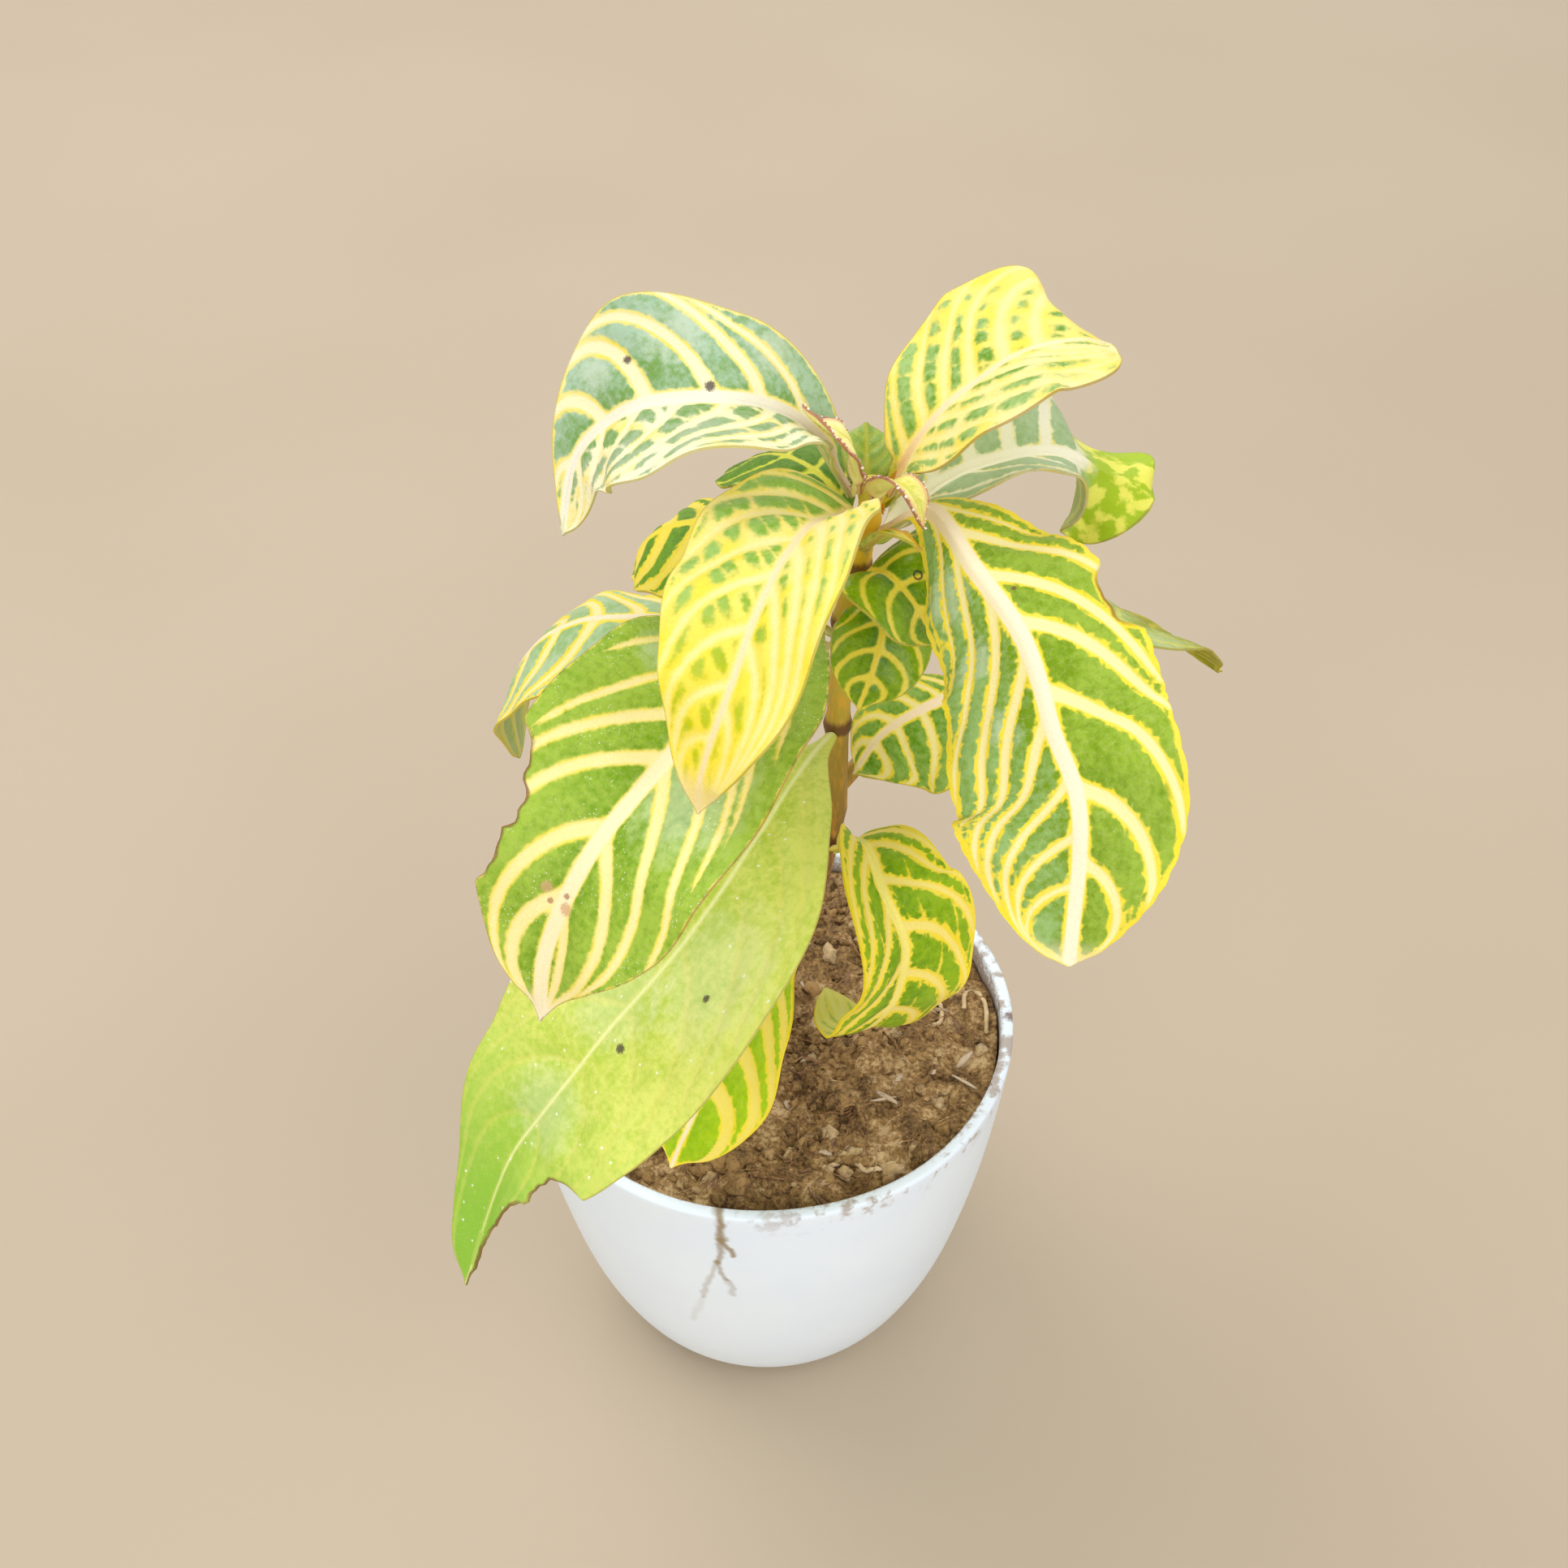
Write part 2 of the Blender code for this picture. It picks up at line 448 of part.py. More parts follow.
def build_leaf(name, leaf):
    """One leaf: its upper face as a grid, given its thickness downwards."""
    rows = leaf.get("rows", LARGE_LEAF_ROWS)
    grid = leaf_surface(leaf, rows, HALF_COLUMNS)
    columns = 2 * HALF_COLUMNS + 1
    bm = bmesh.new()
    bmesh.ops.create_grid(bm, x_segments=columns - 1, y_segments=rows - 1, size=1)
    bm.verts.ensure_lookup_table()
    for index, point in enumerate(grid.reshape(-1, 3)):
        bm.verts[index].co = point
    bmesh.ops.triangulate(bm, faces=bm.faces, quad_method="FIXED")
    thing = add_object(name, bm, make_material(name + "_blade", leaf["colour"], 0.4), face_out=False)
    thickness = thing.vertex_groups.new(name="thickness")
    for row in range(rows):
        station = row / (rows - 1)
        stalk = max(0.0, 1 - station / STALK_SHARE)
        for column in range(columns):
            rib = 1 - RIB_THINNING * station if column == HALF_COLUMNS else 0
            depth = BLADE_THICKNESS + (RIB_THICKNESS - BLADE_THICKNESS) * rib
            depth += (STALK_THICKNESS - depth) * stalk
            thickness.add([row * columns + column], depth / STALK_THICKNESS, "REPLACE")
    solidify = thing.modifiers.new("Blade", "SOLIDIFY")
    solidify.thickness = STALK_THICKNESS * MM
    solidify.offset = -1
    solidify.vertex_group = thickness.name


def main():
    for thing in list(bpy.data.objects):
        bpy.data.objects.remove(thing)
    build_pot()
    build_soil()
    build_stem()
    for name, leaf in LEAVES.items():
        build_leaf(name, leaf)


main()
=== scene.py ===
"""Potted sanchezia: the finished look of the plant, its soil and its white nursery pot.

Lengths are in millimetres, in the model's own frame, and become metres where a mesh is made.
"""
import math

import bpy
import numpy as np
from mathutils import Euler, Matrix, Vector, noise


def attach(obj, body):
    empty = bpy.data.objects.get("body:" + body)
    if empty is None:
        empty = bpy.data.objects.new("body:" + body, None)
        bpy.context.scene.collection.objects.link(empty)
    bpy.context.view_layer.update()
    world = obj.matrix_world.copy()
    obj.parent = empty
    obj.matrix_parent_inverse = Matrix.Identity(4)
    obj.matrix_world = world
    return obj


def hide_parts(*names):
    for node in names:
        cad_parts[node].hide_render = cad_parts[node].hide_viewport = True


MM = 0.001
SEED = 11

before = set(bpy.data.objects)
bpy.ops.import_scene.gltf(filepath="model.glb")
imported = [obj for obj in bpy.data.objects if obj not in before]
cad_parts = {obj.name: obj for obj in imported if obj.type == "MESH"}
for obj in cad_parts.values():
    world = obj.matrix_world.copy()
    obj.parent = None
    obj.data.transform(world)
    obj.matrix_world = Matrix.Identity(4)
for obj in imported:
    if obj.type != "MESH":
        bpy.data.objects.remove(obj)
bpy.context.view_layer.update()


# Shader maths


class Number:
    """A socket of a finish that carries a number, so that shader maths reads as Python."""

    def __init__(self, finish, socket):
        self.finish = finish
        self.socket = socket

    def maths(self, operation, *values):
        return self.finish.number("Math", dict(operation=operation), dict(enumerate(values)))

    def __add__(self, other):
        return self.maths("ADD", self, other)

    def __sub__(self, other):
        return self.maths("SUBTRACT", self, other)

    def __rsub__(self, other):
        return self.maths("SUBTRACT", other, self)

    def __mul__(self, other):
        return self.maths("MULTIPLY", self, other)

    def __truediv__(self, other):
        return self.maths("DIVIDE", self, other)

    def least(self, other):
        return self.maths("MINIMUM", self, other)

    def most(self, other):
        return self.maths("MAXIMUM", self, other)

    def size(self):
        return self.maths("ABSOLUTE", self)

    __radd__ = __add__
    __rmul__ = __mul__

    def rise(self, low, high):
        """0 below low, 1 above high, and smooth between them."""
        return self.finish.number("MapRange", dict(interpolation_type="SMOOTHSTEP"),
                                  {"Value": self, "From Min": low, "From Max": high})

    def fall(self, low, high):
        """1 below low, 0 above high, and smooth between them."""
        return 1 - self.rise(low, high)


class Finish:
    """A material whose nodes are added by type and joined by value."""

    def __init__(self, name):
        self.material = bpy.data.materials.new(name)
        self.material.use_nodes = True
        self.tree = self.material.node_tree
        self.shader = self.tree.nodes["Principled BSDF"]

    def node(self, kind, settings, inputs):
        """Adds a node: its settings first, then the values or links of its sockets."""
        added = self.tree.nodes.new("ShaderNode" + kind)
        for name, value in settings.items():
            setattr(added, name, value)
        for name, value in inputs.items():
            self.join(value, added.inputs[name])
        return added

    def join(self, value, socket):
        if isinstance(value, Number):
            self.tree.links.new(value.socket, socket)
        elif isinstance(value, bpy.types.NodeSocket):
            self.tree.links.new(value, socket)
        else:
            socket.default_value = value

    def number(self, kind, settings, inputs, output=0):
        return Number(self, self.node(kind, settings, inputs).outputs[output])

    def attribute(self, name):
        return self.node("Attribute", dict(attribute_name=name), {}).outputs["Vector"]

    def parts(self, vector):
        """The three numbers of a vector."""
        split = self.node("SeparateXYZ", {}, {0: vector})
        return [Number(self, socket) for socket in split.outputs]

    def object_place(self):
        """Object coordinates in millimetres."""
        place = self.node("TexCoord", {}, {}).outputs["Object"]
        return self.stretched(place, (1 / MM, 1 / MM, 1 / MM))

    def stretched(self, vector, scale):
        return self.node("Mapping", {}, {"Vector": vector, "Scale": scale}).outputs[0]

    def cloud(self, vector, scale, detail, roughness=0.5):
        """Noise that is about 0.5 in the middle."""
        inputs = {"Vector": vector, "Scale": scale, "Detail": detail, "Roughness": roughness}
        return self.number("TexNoise", {}, inputs)

    def cells(self, vector, scale, feature="F1", randomness=1.0, space="3D"):
        """Distance in a field of scattered cells, as a share of a cell."""
        inputs = {"Vector": vector, "Scale": scale, "Randomness": randomness}
        return self.number("TexVoronoi", dict(feature=feature, voronoi_dimensions=space), inputs)

    def reach_from(self, vector, point):
        """Distance from a point, in the vector's own units."""
        inputs = {0: vector, 1: point}
        return self.number("VectorMath", dict(operation="DISTANCE"), inputs, output="Value")

    def blend(self, share, first, second):
        """A colour between two, by a share of the second."""
        mixed = self.node("Mix", dict(data_type="RGBA"), {0: share, 6: first, 7: second})
        return mixed.outputs[2]

    def raised(self, height, depth):
        """Makes a height, from 0 to 1, into bumps of a depth in millimetres."""
        bump = self.node("Bump", {}, {"Height": height, "Distance": depth * MM, "Strength": 1.0})
        self.join(bump.outputs["Normal"], self.shader.inputs["Normal"])

    def surface(self, **values):
        """Sets sockets of the shader, named with _ for a space."""
        for name, value in values.items():
            socket = name.replace("_", " ").title().replace("Ior", "IOR")
            self.join(value, self.shader.inputs[socket])
        return self.material


def added(operator, **settings):
    """Deselects everything, adds one thing with an operator, and gives it."""
    bpy.ops.object.select_all(action="DESELECT")
    operator(**settings)
    return bpy.context.object


def select_only(thing):
    bpy.ops.object.select_all(action="DESELECT")
    thing.select_set(True)
    bpy.context.view_layer.objects.active = thing


def tone(red, green, blue):
    """A colour from its 0 to 255 screen values."""
    linear = [((value / 255 + 0.055) / 1.055) ** 2.4 for value in (red, green, blue)]
    return (*linear, 1)


# Shapes of stem and leaves, as in the solids, but for the left bud leaf, which opens flat to the front

TOUCH_GAP = 0.3
STEM = [
    ((2, 3, 60), 2.6), ((2, 3, 88), 2.6), ((6, 2, 106), 2.5), ((11, 2, 128), 2.4),
    ((14, 2, 146), 2.3), ((14, 3, 165), 2.2), ((15, 3, 192), 2.1), ((18, 2, 211), 2.0), ((19, 1, 222), 1.8),
]
SIDE_SHOOT = [((14, 3, 150), 1.7), ((21, 8, 156), 1.6), ((30, 11, 161), 1.5), ((38, 13, 166), 1.4)]
STEM_NODES = [112, 139, 167, 191, 204, 214, 220]
STEM_NODE_SWELLING = 0.5
STEM_NODE_SPREAD = 1.8
RIB_THICKNESS = 1.2
BLADE_THICKNESS = 0.45
STALK_WIDTH = 2.2
STALK_THICKNESS = 1.8
STALK_SHARE = 0.15
STALK_TAPER_SHARE = 0.3
TIP_WIDTH = 0.5
FLAT_HALF_WIDTH = 1.5
TILTED_HALF_WIDTH = 4.5
WAVE_SHIFT = 0.4
SPINE_STEPS = 30
SMOOTHING_SHARE = 40
TOOTH_STEP = 3.1

# Half widths at stations along a leaf, as shares of the greatest
OUTLINES = {
    "egg": [(0, 0.05), (0.06, 0.09), (0.14, 0.3), (0.28, 0.72), (0.42, 0.95), (0.54, 1), (0.68, 0.93),
            (0.8, 0.74), (0.9, 0.42), (0.955, 0.16), (1, 0)],
    "oval": [(0, 0.07), (0.05, 0.14), (0.12, 0.42), (0.25, 0.8), (0.4, 0.98), (0.52, 1), (0.68, 0.9),
             (0.82, 0.64), (0.92, 0.33), (0.97, 0.14), (1, 0)],
    "full": [(0, 0.1), (0.04, 0.28), (0.12, 0.62), (0.25, 0.88), (0.42, 1), (0.6, 0.97), (0.75, 0.8),
             (0.87, 0.5), (0.95, 0.2), (1, 0)],
    "blunt": [(0, 0.05), (0.06, 0.09), (0.15, 0.32), (0.3, 0.74), (0.46, 0.96), (0.6, 1), (0.73, 0.94),
              (0.84, 0.76), (0.93, 0.46), (0.98, 0.2), (1, 0)],
    "lance": [(0, 0.05), (0.08, 0.12), (0.2, 0.48), (0.36, 0.88), (0.48, 1), (0.62, 0.93), (0.74, 0.72),
              (0.84, 0.4), (0.92, 0.22), (0.97, 0.12), (1, 0)],
}

# Where each stalk leaves the stem (node) or the side shoot (shoot), the greatest width, the midrib's course
# (spine), the margin's wave as (height, count), and at even stations along each half its tilt in degrees and
# its width against the outline's (ratio). A bite is (half, station, spread, depth), in shares.
LEAVES = {
    "leaf_upper_left": dict(
        node=219, width=35, outline="blunt", wave=(0.8, 5),
        spine=[(10, 2, 229), (3, -1, 237), (-6, -4, 241), (-18, -2, 239), (-26, 0, 233), (-31, -1, 226),
               (-33, -6, 216)],
        tilt_left=[35, 30, 20, 5, -10, -25], tilt_right=[50, 40, 35, 42, 48, 45],
        ratio_left=[1, 0.9, 0.9, 1, 0.8, 0.7], ratio_right=[1, 0.88, 0.86, 1, 0.45, 0.1]),
    "leaf_upper_right": dict(
        node=220, width=39, outline="blunt", wave=(0.4, 4),
        spine=[(28, 0, 234), (36, 1, 242), (44, 3, 246), (51, 4, 247), (57, 6, 245)],
        tilt_left=[70, 50, 30, 25, 20, 10], tilt_right=[-30, -15, -9, -6, -10, -12],
        ratio_left=[1, 0.95, 1, 1.15, 1.4, 0.8], ratio_right=[0.4, 0.85, 1, 1]),
    "leaf_yellow_front": dict(
        node=217, width=31, outline="full", wave=(0.6, 5),
        spine=[(8, -24, 230), (1, -42, 230), (-4, -54, 222), (-8, -59, 211), (-9, -60, 203)],
        tilt_left=[20, 30, 35, 25, 30], tilt_right=[50, 15, -10, -5, -5],
        ratio_left=[0.2, 0.7, 1, 1, 1], ratio_right=[1, 1.1, 1.1, 1, 1]),
    "leaf_right_large": dict(
        node=214, width=36, outline="blunt", wave=(0.9, 6),
        spine=[(28, -5.5, 221), (34, -23, 222), (41, -38, 219), (45, -50, 211), (49, -60, 202),
               (48, -72, 182)],
        tilt_left=[15, 0, 5, 15, 20], tilt_right=[-40, -45, -38, -25, -10],
        ratio_right=[1, 1, 1, 1.05, 1.3, 1.4],
        bites=[("left", 0.47, 0.05, 0.18)]),
    "leaf_left_large": dict(
        node=191, width=44, outline="egg", wave=(0.8, 5),
        spine=[(7, -8, 199), (-6, -33, 203), (-17, -48, 199), (-27, -57, 190), (-34, -62, 175),
               (-36, -65, 161)],
        tilt_left=[0, 15, 15, 5, 0], tilt_right=[10, 15, 22, 25, 30],
        ratio_left=[0.8, 0.85, 1, 1.1, 1], ratio_right=[1, 1, 1, 1, 0.93, 0.9],
        bites=[("right", 0.67, 0.06, 0.22), ("right", 0.74, 0.07, 0.22)]),
    "leaf_lime_long": dict(
        node=167, width=46, outline="lance", wave=(0.7, 5),
        spine=[(7, -16, 172), (-6, -41, 168), (-16, -52, 160), (-26, -58, 150), (-35, -62, 138),
               (-45, -65, 122), (-54, -74, 98)],
        tilt_left=[0, 10, 10, 5, 20, 40], tilt_right=[50, 25, 0, 0, 5, 10],
        ratio_right=[1, 1, 1, 1, 1.1, 1.8],
        bites=[("left", 0.76, 0.05, 0.35), ("left", 0.86, 0.06, 0.35), ("left", 0.97, 0.09, 0.75)]),
    "leaf_low_front": dict(
        node=112, width=34, outline="egg", wave=(0.5, 4),
        spine=[(1, -14, 116), (-8, -30, 110), (-14, -40, 102), (-18, -45, 94)],
        tilt_left=[35, 50, 35, 15, 10], tilt_right=[10]),
    "leaf_low_right": dict(
        node=139, width=32, outline="blunt", wave=(0.6, 5),
        spine=[(19, -14, 151), (22, -26, 151), (26, -31, 142), (25, -33, 131), (20, -31, 119), (15, -26, 115),
               (12, -19, 117)],
        tilt_left=[40, 15, 0, -10, -10, 0], tilt_right=[80, 60, 40, 25, 10, 0], ratio_right=[0.75]),
    "leaf_shoot_inner": dict(
        shoot=165.6, width=33, outline="egg", wave=(0.6, 4),
        spine=[(36.5, 7, 170.5), (29, 1, 171.5), (22, -2, 168), (17, -5, 161)],
        tilt_left=[-20, -40, -45, -40], tilt_right=[60, 60, 60, 40], ratio_right=[0.45]),
    "leaf_shoot_outer": dict(
        shoot=165.6, width=30, outline="egg", wave=(0.6, 4),
        spine=[(56, 33, 167), (71, 35, 166), (84, 40, 157), (96, 44, 146)],
        tilt_left=[0, -15, -20], tilt_right=[-30, 10, 30, 35]),
    "leaf_back_left": dict(
        node=199, width=36, outline="egg", wave=(0.5, 4),
        spine=[(5, 2, 207), (-6, 4, 211), (-15, 6, 210), (-21, 7, 205), (-23, 8, 197)],
        tilt_left=[-20], tilt_right=[-10]),
    "leaf_back_top": dict(
        node=210, width=24, outline="egg", wave=(0.4, 4),
        spine=[(12, 9, 216), (5, 16, 217), (-2, 22, 213), (-7, 25, 206)], tilt_left=[0], tilt_right=[-10]),
    "leaf_right_back": dict(
        node=209, width=34, outline="blunt", wave=(0.6, 4),
        spine=[(29, 9, 214), (37, 11, 218), (47, 14, 219), (55, 17, 216.5), (61, 18, 212.5), (70, 16, 208)],
        tilt_left=[35, 30, 25, 30, -10, 30], tilt_right=[10, 25, 30, 20, -60, -30],
        ratio_left=[1, 1, 1, 1, 0.8, 2.2], ratio_right=[1, 1, 0.8, 0.6, 0.9, 1.6]),
    "leaf_left_behind": dict(
        node=186, width=30, outline="blunt", wave=(0.5, 5),
        spine=[(-5, 3, 190), (-21, 7, 189), (-35, 11, 184.5), (-45, 14, 174), (-49, 14, 162), (-48, 11, 151)],
        tilt_left=[0, -10, -25, -20, -10, 0], tilt_right=[-10, -20, -15, -5, 0]),
    "leaf_small_upper": dict(
        node=204, width=22, outline="oval", wave=(0.3, 3),
        spine=[(19, -5, 208), (22, -9, 209.5), (26, -13, 206.5), (29.5, -15, 200)], tilt_left=[35],
        tilt_right=[0]),
    "leaf_small_lower": dict(
        node=199, width=18, outline="oval", wave=(0.3, 3),
        spine=[(20, -4, 199.5), (21, -8, 197.5), (19.5, -11.5, 192), (17, -13.5, 184.5)], tilt_left=[10],
        tilt_right=[10]),
    "leaf_young_arch": dict(
        node=210, width=6, outline="oval", wave=(0.2, 3),
        spine=[(18.5, -4, 213.5), (20.5, -8, 218.5), (23.5, -11, 220), (26.5, -13, 218)], tilt_left=[-20],
        tilt_right=[-20]),
    "leaf_young_back": dict(
        node=214, width=8, outline="oval", wave=(0.2, 3),
        spine=[(21.5, 5, 218), (24.5, 7, 220.5), (28, 8.5, 220)], tilt_left=[15], tilt_right=[15]),
    "leaf_young_tip": dict(
        node=218, width=9, outline="oval", wave=(0.2, 3),
        spine=[(18, 6, 222), (18, 10, 225), (18, 13, 226)], tilt_left=[20], tilt_right=[20]),
    "bud_leaf_left": dict(
        node=221, width=7, outline="oval", wave=(0.2, 3),
        spine=[(15, -2, 231), (11, -4, 236), (7, -4, 240)], tilt_left=[-55], tilt_right=[65]),
    "bud_leaf_curled": dict(
        node=221, width=7, outline="oval", wave=(0.2, 3),
        spine=[(20, -5, 225), (22.5, -10, 229), (25.5, -13.5, 228), (26.5, -15.5, 224)], tilt_left=[30],
        tilt_right=[30]),
}


def stem_at(axis, height):
    """The point on a stem's axis at a height, and the radius there."""
    for (low, low_radius), (high, high_radius) in zip(axis, axis[1:]):
        if height <= high[2]:
            break
    share = (height - low[2]) / (high[2] - low[2])
    return Vector(low).lerp(Vector(high), share), low_radius + (high_radius - low_radius) * share


def node_swelling(height):
    """How much thicker the main stem is at a height, near its nodes."""
    near = sum(math.exp(-((height - node) / STEM_NODE_SPREAD) ** 2) for node in STEM_NODES)
    return STEM_NODE_SWELLING * min(1, near)


def smooth_through(stations, values, at):
    """A curve through pairs of station and value that never overshoots them."""
    x = np.array(stations, float)
    y = np.array(values, float)
    step = np.diff(x)
    slope = np.diff(y) / step
    tangent = np.zeros_like(y)
    both = slope[:-1] * slope[1:] > 0
    tangent[1:-1] = np.where(both, 2 * slope[:-1] * slope[1:] / (slope[:-1] + slope[1:] + 1e-12), 0)
    tangent[0] = slope[0]
    tangent[-1] = slope[-1]
    k = np.clip(np.searchsorted(x, at, side="right") - 1, 0, len(step) - 1)
    s = (at - x[k]) / step[k]
    return (y[k] * (1 + 2 * s) * (1 - s) ** 2 + tangent[k] * step[k] * s * (1 - s) ** 2
            + y[k + 1] * s * s * (3 - 2 * s) + tangent[k + 1] * step[k] * s * s * (s - 1))


def along_leaf(values, v):
    """A short list of even stations read at v, or one value everywhere."""
    if len(values) == 1:
        return np.full_like(v, values[0])
    return smooth_through(np.linspace(0, 1, len(values)), values, v)


def spine_through(points, v):
    """Points at shares v of the length of a smooth curve through the given points."""
    p = np.array(points, float)
    p = np.vstack([2 * p[0] - p[1], p, 2 * p[-1] - p[-2]])
    fine = []
    for a, b, c, d in zip(p, p[1:], p[2:], p[3:]):
        for t in np.linspace(0, 1, SPINE_STEPS, endpoint=False):
            fine.append(0.5 * (2 * b + (c - a) * t + (2 * a - 5 * b + 4 * c - d) * t ** 2
                               + (3 * b - a - 3 * c + d) * t ** 3))
    fine = np.array(fine + [p[-2]])
    length = np.concatenate([[0], np.cumsum(np.linalg.norm(np.diff(fine, axis=0), axis=1))])
    return np.stack([np.interp(v * length[-1], length, fine[:, k]) for k in range(3)], axis=-1), length[-1]


def leaf_base(leaf):
    """Where a leaf's stalk leaves the stem, just clear of its bark."""
    axis, height = (STEM, leaf["node"]) if "node" in leaf else (SIDE_SHOOT, leaf["shoot"])
    centre, radius = stem_at(axis, height)
    if axis is STEM:
        radius += node_swelling(height)
    along = (stem_at(axis, height)[0] - stem_at(axis, height - 1)[0]).normalized()
    heading = Vector(leaf["spine"][0]) - centre
    heading -= along * heading.dot(along)
    return centre + heading.normalized() * (radius + TOUCH_GAP)


def smoothed(values, spread):
    """Rows of a leaf averaged with their neighbours."""
    weights = np.hanning(2 * spread + 3)[1:-1]
    weights /= weights.sum()
    padded = np.concatenate([np.repeat(values[:1], spread, 0), values, np.repeat(values[-1:], spread, 0)])
    return np.stack([np.convolve(padded[:, k], weights, "valid") for k in range(values.shape[1])], axis=-1)


class LeafShape:
    """A leaf's upper face on a fine grid, with each point's place on the flattened leaf."""

    def __init__(self, leaf, rows, half_columns, crenation):
        v = np.linspace(0, 1, rows)
        centre, self.length = spine_through([leaf_base(leaf)] + leaf["spine"], v)
        spread = max(1, rows // SMOOTHING_SHARE)
        ahead = smoothed(np.gradient(centre, axis=0), spread)
        ahead /= np.linalg.norm(ahead, axis=1)[:, None]
        normal = np.zeros_like(centre)
        previous = np.array((0, 0, 1.0))
        for row in range(rows):
            previous = previous - ahead[row] * (previous @ ahead[row])
            previous /= np.linalg.norm(previous)
            normal[row] = previous
        rightward = np.cross(ahead, normal)
        outline = np.array(OUTLINES[leaf["outline"]])
        half = leaf["width"] / 2 * smooth_through(outline[:, 0], outline[:, 1], v)
        wave_height, wave_count = leaf["wave"]
        self.v = v
        self.u = np.linspace(0, 1, half_columns + 1)
        self.reach = {}
        self.whole_reach = {}
        self.bitten = {}
        faces = {}
        for side, sign, phase in (("left", -1, 0.0), ("right", 1, WAVE_SHIFT)):
            reach = half * along_leaf(leaf.get("ratio_" + side, [1]), v)
            self.whole_reach[side] = np.maximum(reach, 0.5)
            bitten = np.zeros(rows)
            for where, station, spread, depth in leaf.get("bites", ()):
                if where == side:
                    bite = 1 - np.clip(np.abs(v - station) / spread, 0, 1) ** 3
                    ragged = np.array([noise.noise(Vector((y * self.length * 0.45, sign, 0))) for y in v])
                    reach = reach * (1 - depth * bite * (1 + 0.25 * ragged))
                    bitten = np.maximum(bitten, bite)
            teeth = np.abs(np.sin(v * self.length * math.pi / TOOTH_STEP + phase * 3)) - 0.6
            reach = reach + crenation * teeth * np.clip(half / half.max() * 2, 0, 1) * (1 - bitten)
            least = STALK_WIDTH / 2 + (TIP_WIDTH - STALK_WIDTH) / 2 * np.clip(v / STALK_TAPER_SHARE, 0, 1)
            reach = np.maximum(reach, least)
            self.reach[side] = reach
            self.bitten[side] = bitten
            tilted = np.clip((half - FLAT_HALF_WIDTH) / (TILTED_HALF_WIDTH - FLAT_HALF_WIDTH), 0, 1)
            tilt = (np.radians(along_leaf(leaf["tilt_" + side], v)) * tilted)[:, None]
            u = self.u[None, :]
            ripple = wave_height * u ** 2 * np.sin(math.tau * (wave_count * v[:, None] + phase))
            ripple = ripple * np.sqrt(half / half.max())[:, None]
            across = u * reach[:, None] * np.cos(tilt) - ripple * np.sin(tilt)
            rise = u * reach[:, None] * np.sin(tilt) + ripple * np.cos(tilt)
            sideways = sign * rightward[:, None] * across[..., None]
            faces[side] = centre[:, None] + sideways + normal[:, None] * rise[..., None]
        self.points = self.whole(faces["left"], faces["right"])

    def whole(self, left, right):
        """Joins what was worked out for each half, from the left margin to the right one."""
        return np.concatenate([left[:, ::-1], right[:, 1:]], axis=1)

    def both(self, rule):
        """Works out rule(side, u, v, reach) on each half, as arrays of rows by columns."""
        halves = {}
        for side in ("left", "right"):
            u, v = np.meshgrid(self.u, self.v)
            reach = np.repeat(self.reach[side][:, None], len(self.u), axis=1)
            halves[side] = rule(side, u, v, reach)
        return self.whole(halves["left"], halves["right"])

    def normals(self):
        along = np.gradient(self.points, axis=0)
        across = np.gradient(self.points, axis=1)
        up = np.cross(across, along)
        return up / (np.linalg.norm(up, axis=-1)[..., None] + 1e-12)


# Veins

END_STEP = 0.12
COURSE_GAP = 0.012
NO_VEIN = -9
VEIN_ENDING = 8
COMB_REACH = 0.95


def vein_field(shape, side, veins, bend):
    """Where one half of a leaf lies between its lateral veins, at each row and column of its grid.

    Gives a count that runs smoothly from each vein to the next, the millimetres that one of that
    count covers, and the half width of the nearest vein.
    """
    straight, power = bend
    u = shape.u[None, :] * (shape.reach[side] / shape.whole_reach[side])[:, None]
    courses = []
    slopes = []
    widths = []
    for start, rise, reach, width in veins:
        s = u / reach
        course = start + rise * (straight * s + (1 - straight) * s ** power)
        courses.append(np.maximum(course, courses[-1] + COURSE_GAP) if courses else course)
        slopes.append(rise / reach * (straight + (1 - straight) * power * s ** (power - 1)))
        taper = 1.15 - 0.25 * np.sqrt(s) - 0.35 * s ** 2
        widths.append(width / 2 * taper - VEIN_ENDING * np.maximum(s - 1, 0))
    courses = np.array([courses[0] - END_STEP] + courses + [courses[-1] + END_STEP])
    slopes = [slopes[0]] + slopes + [slopes[-1]]
    widths = [0 * u + NO_VEIN] + widths + [0 * u + NO_VEIN]
    v = shape.v[:, None]
    below = np.clip((courses <= v).sum(axis=0) - 1, 0, len(courses) - 2)

    def at(values, number):
        return np.take_along_axis(np.array(values), number[None], axis=0)[0]

    low, high = at(courses, below), at(courses, below + 1)
    part = (v - low) / (high - low)
    slope = at(slopes, below) * (1 - part) + at(slopes, below + 1) * part
    slant = np.sqrt(1 + (slope * shape.length / shape.whole_reach[side][:, None]) ** 2)
    count = below + part
    nearest = np.clip(np.rint(count).astype(int), 0, len(courses) - 1)
    return count, (high - low) * shape.length / slant, at(widths, nearest)


def comb(starts, width, rise=0.26):
    """Lateral veins that start at stations on the midrib and rise less towards the tip."""
    return [(start, rise * (1 - 0.3 * start), COMB_REACH, width) for start in starts]


# Colours of the plant, as screen values

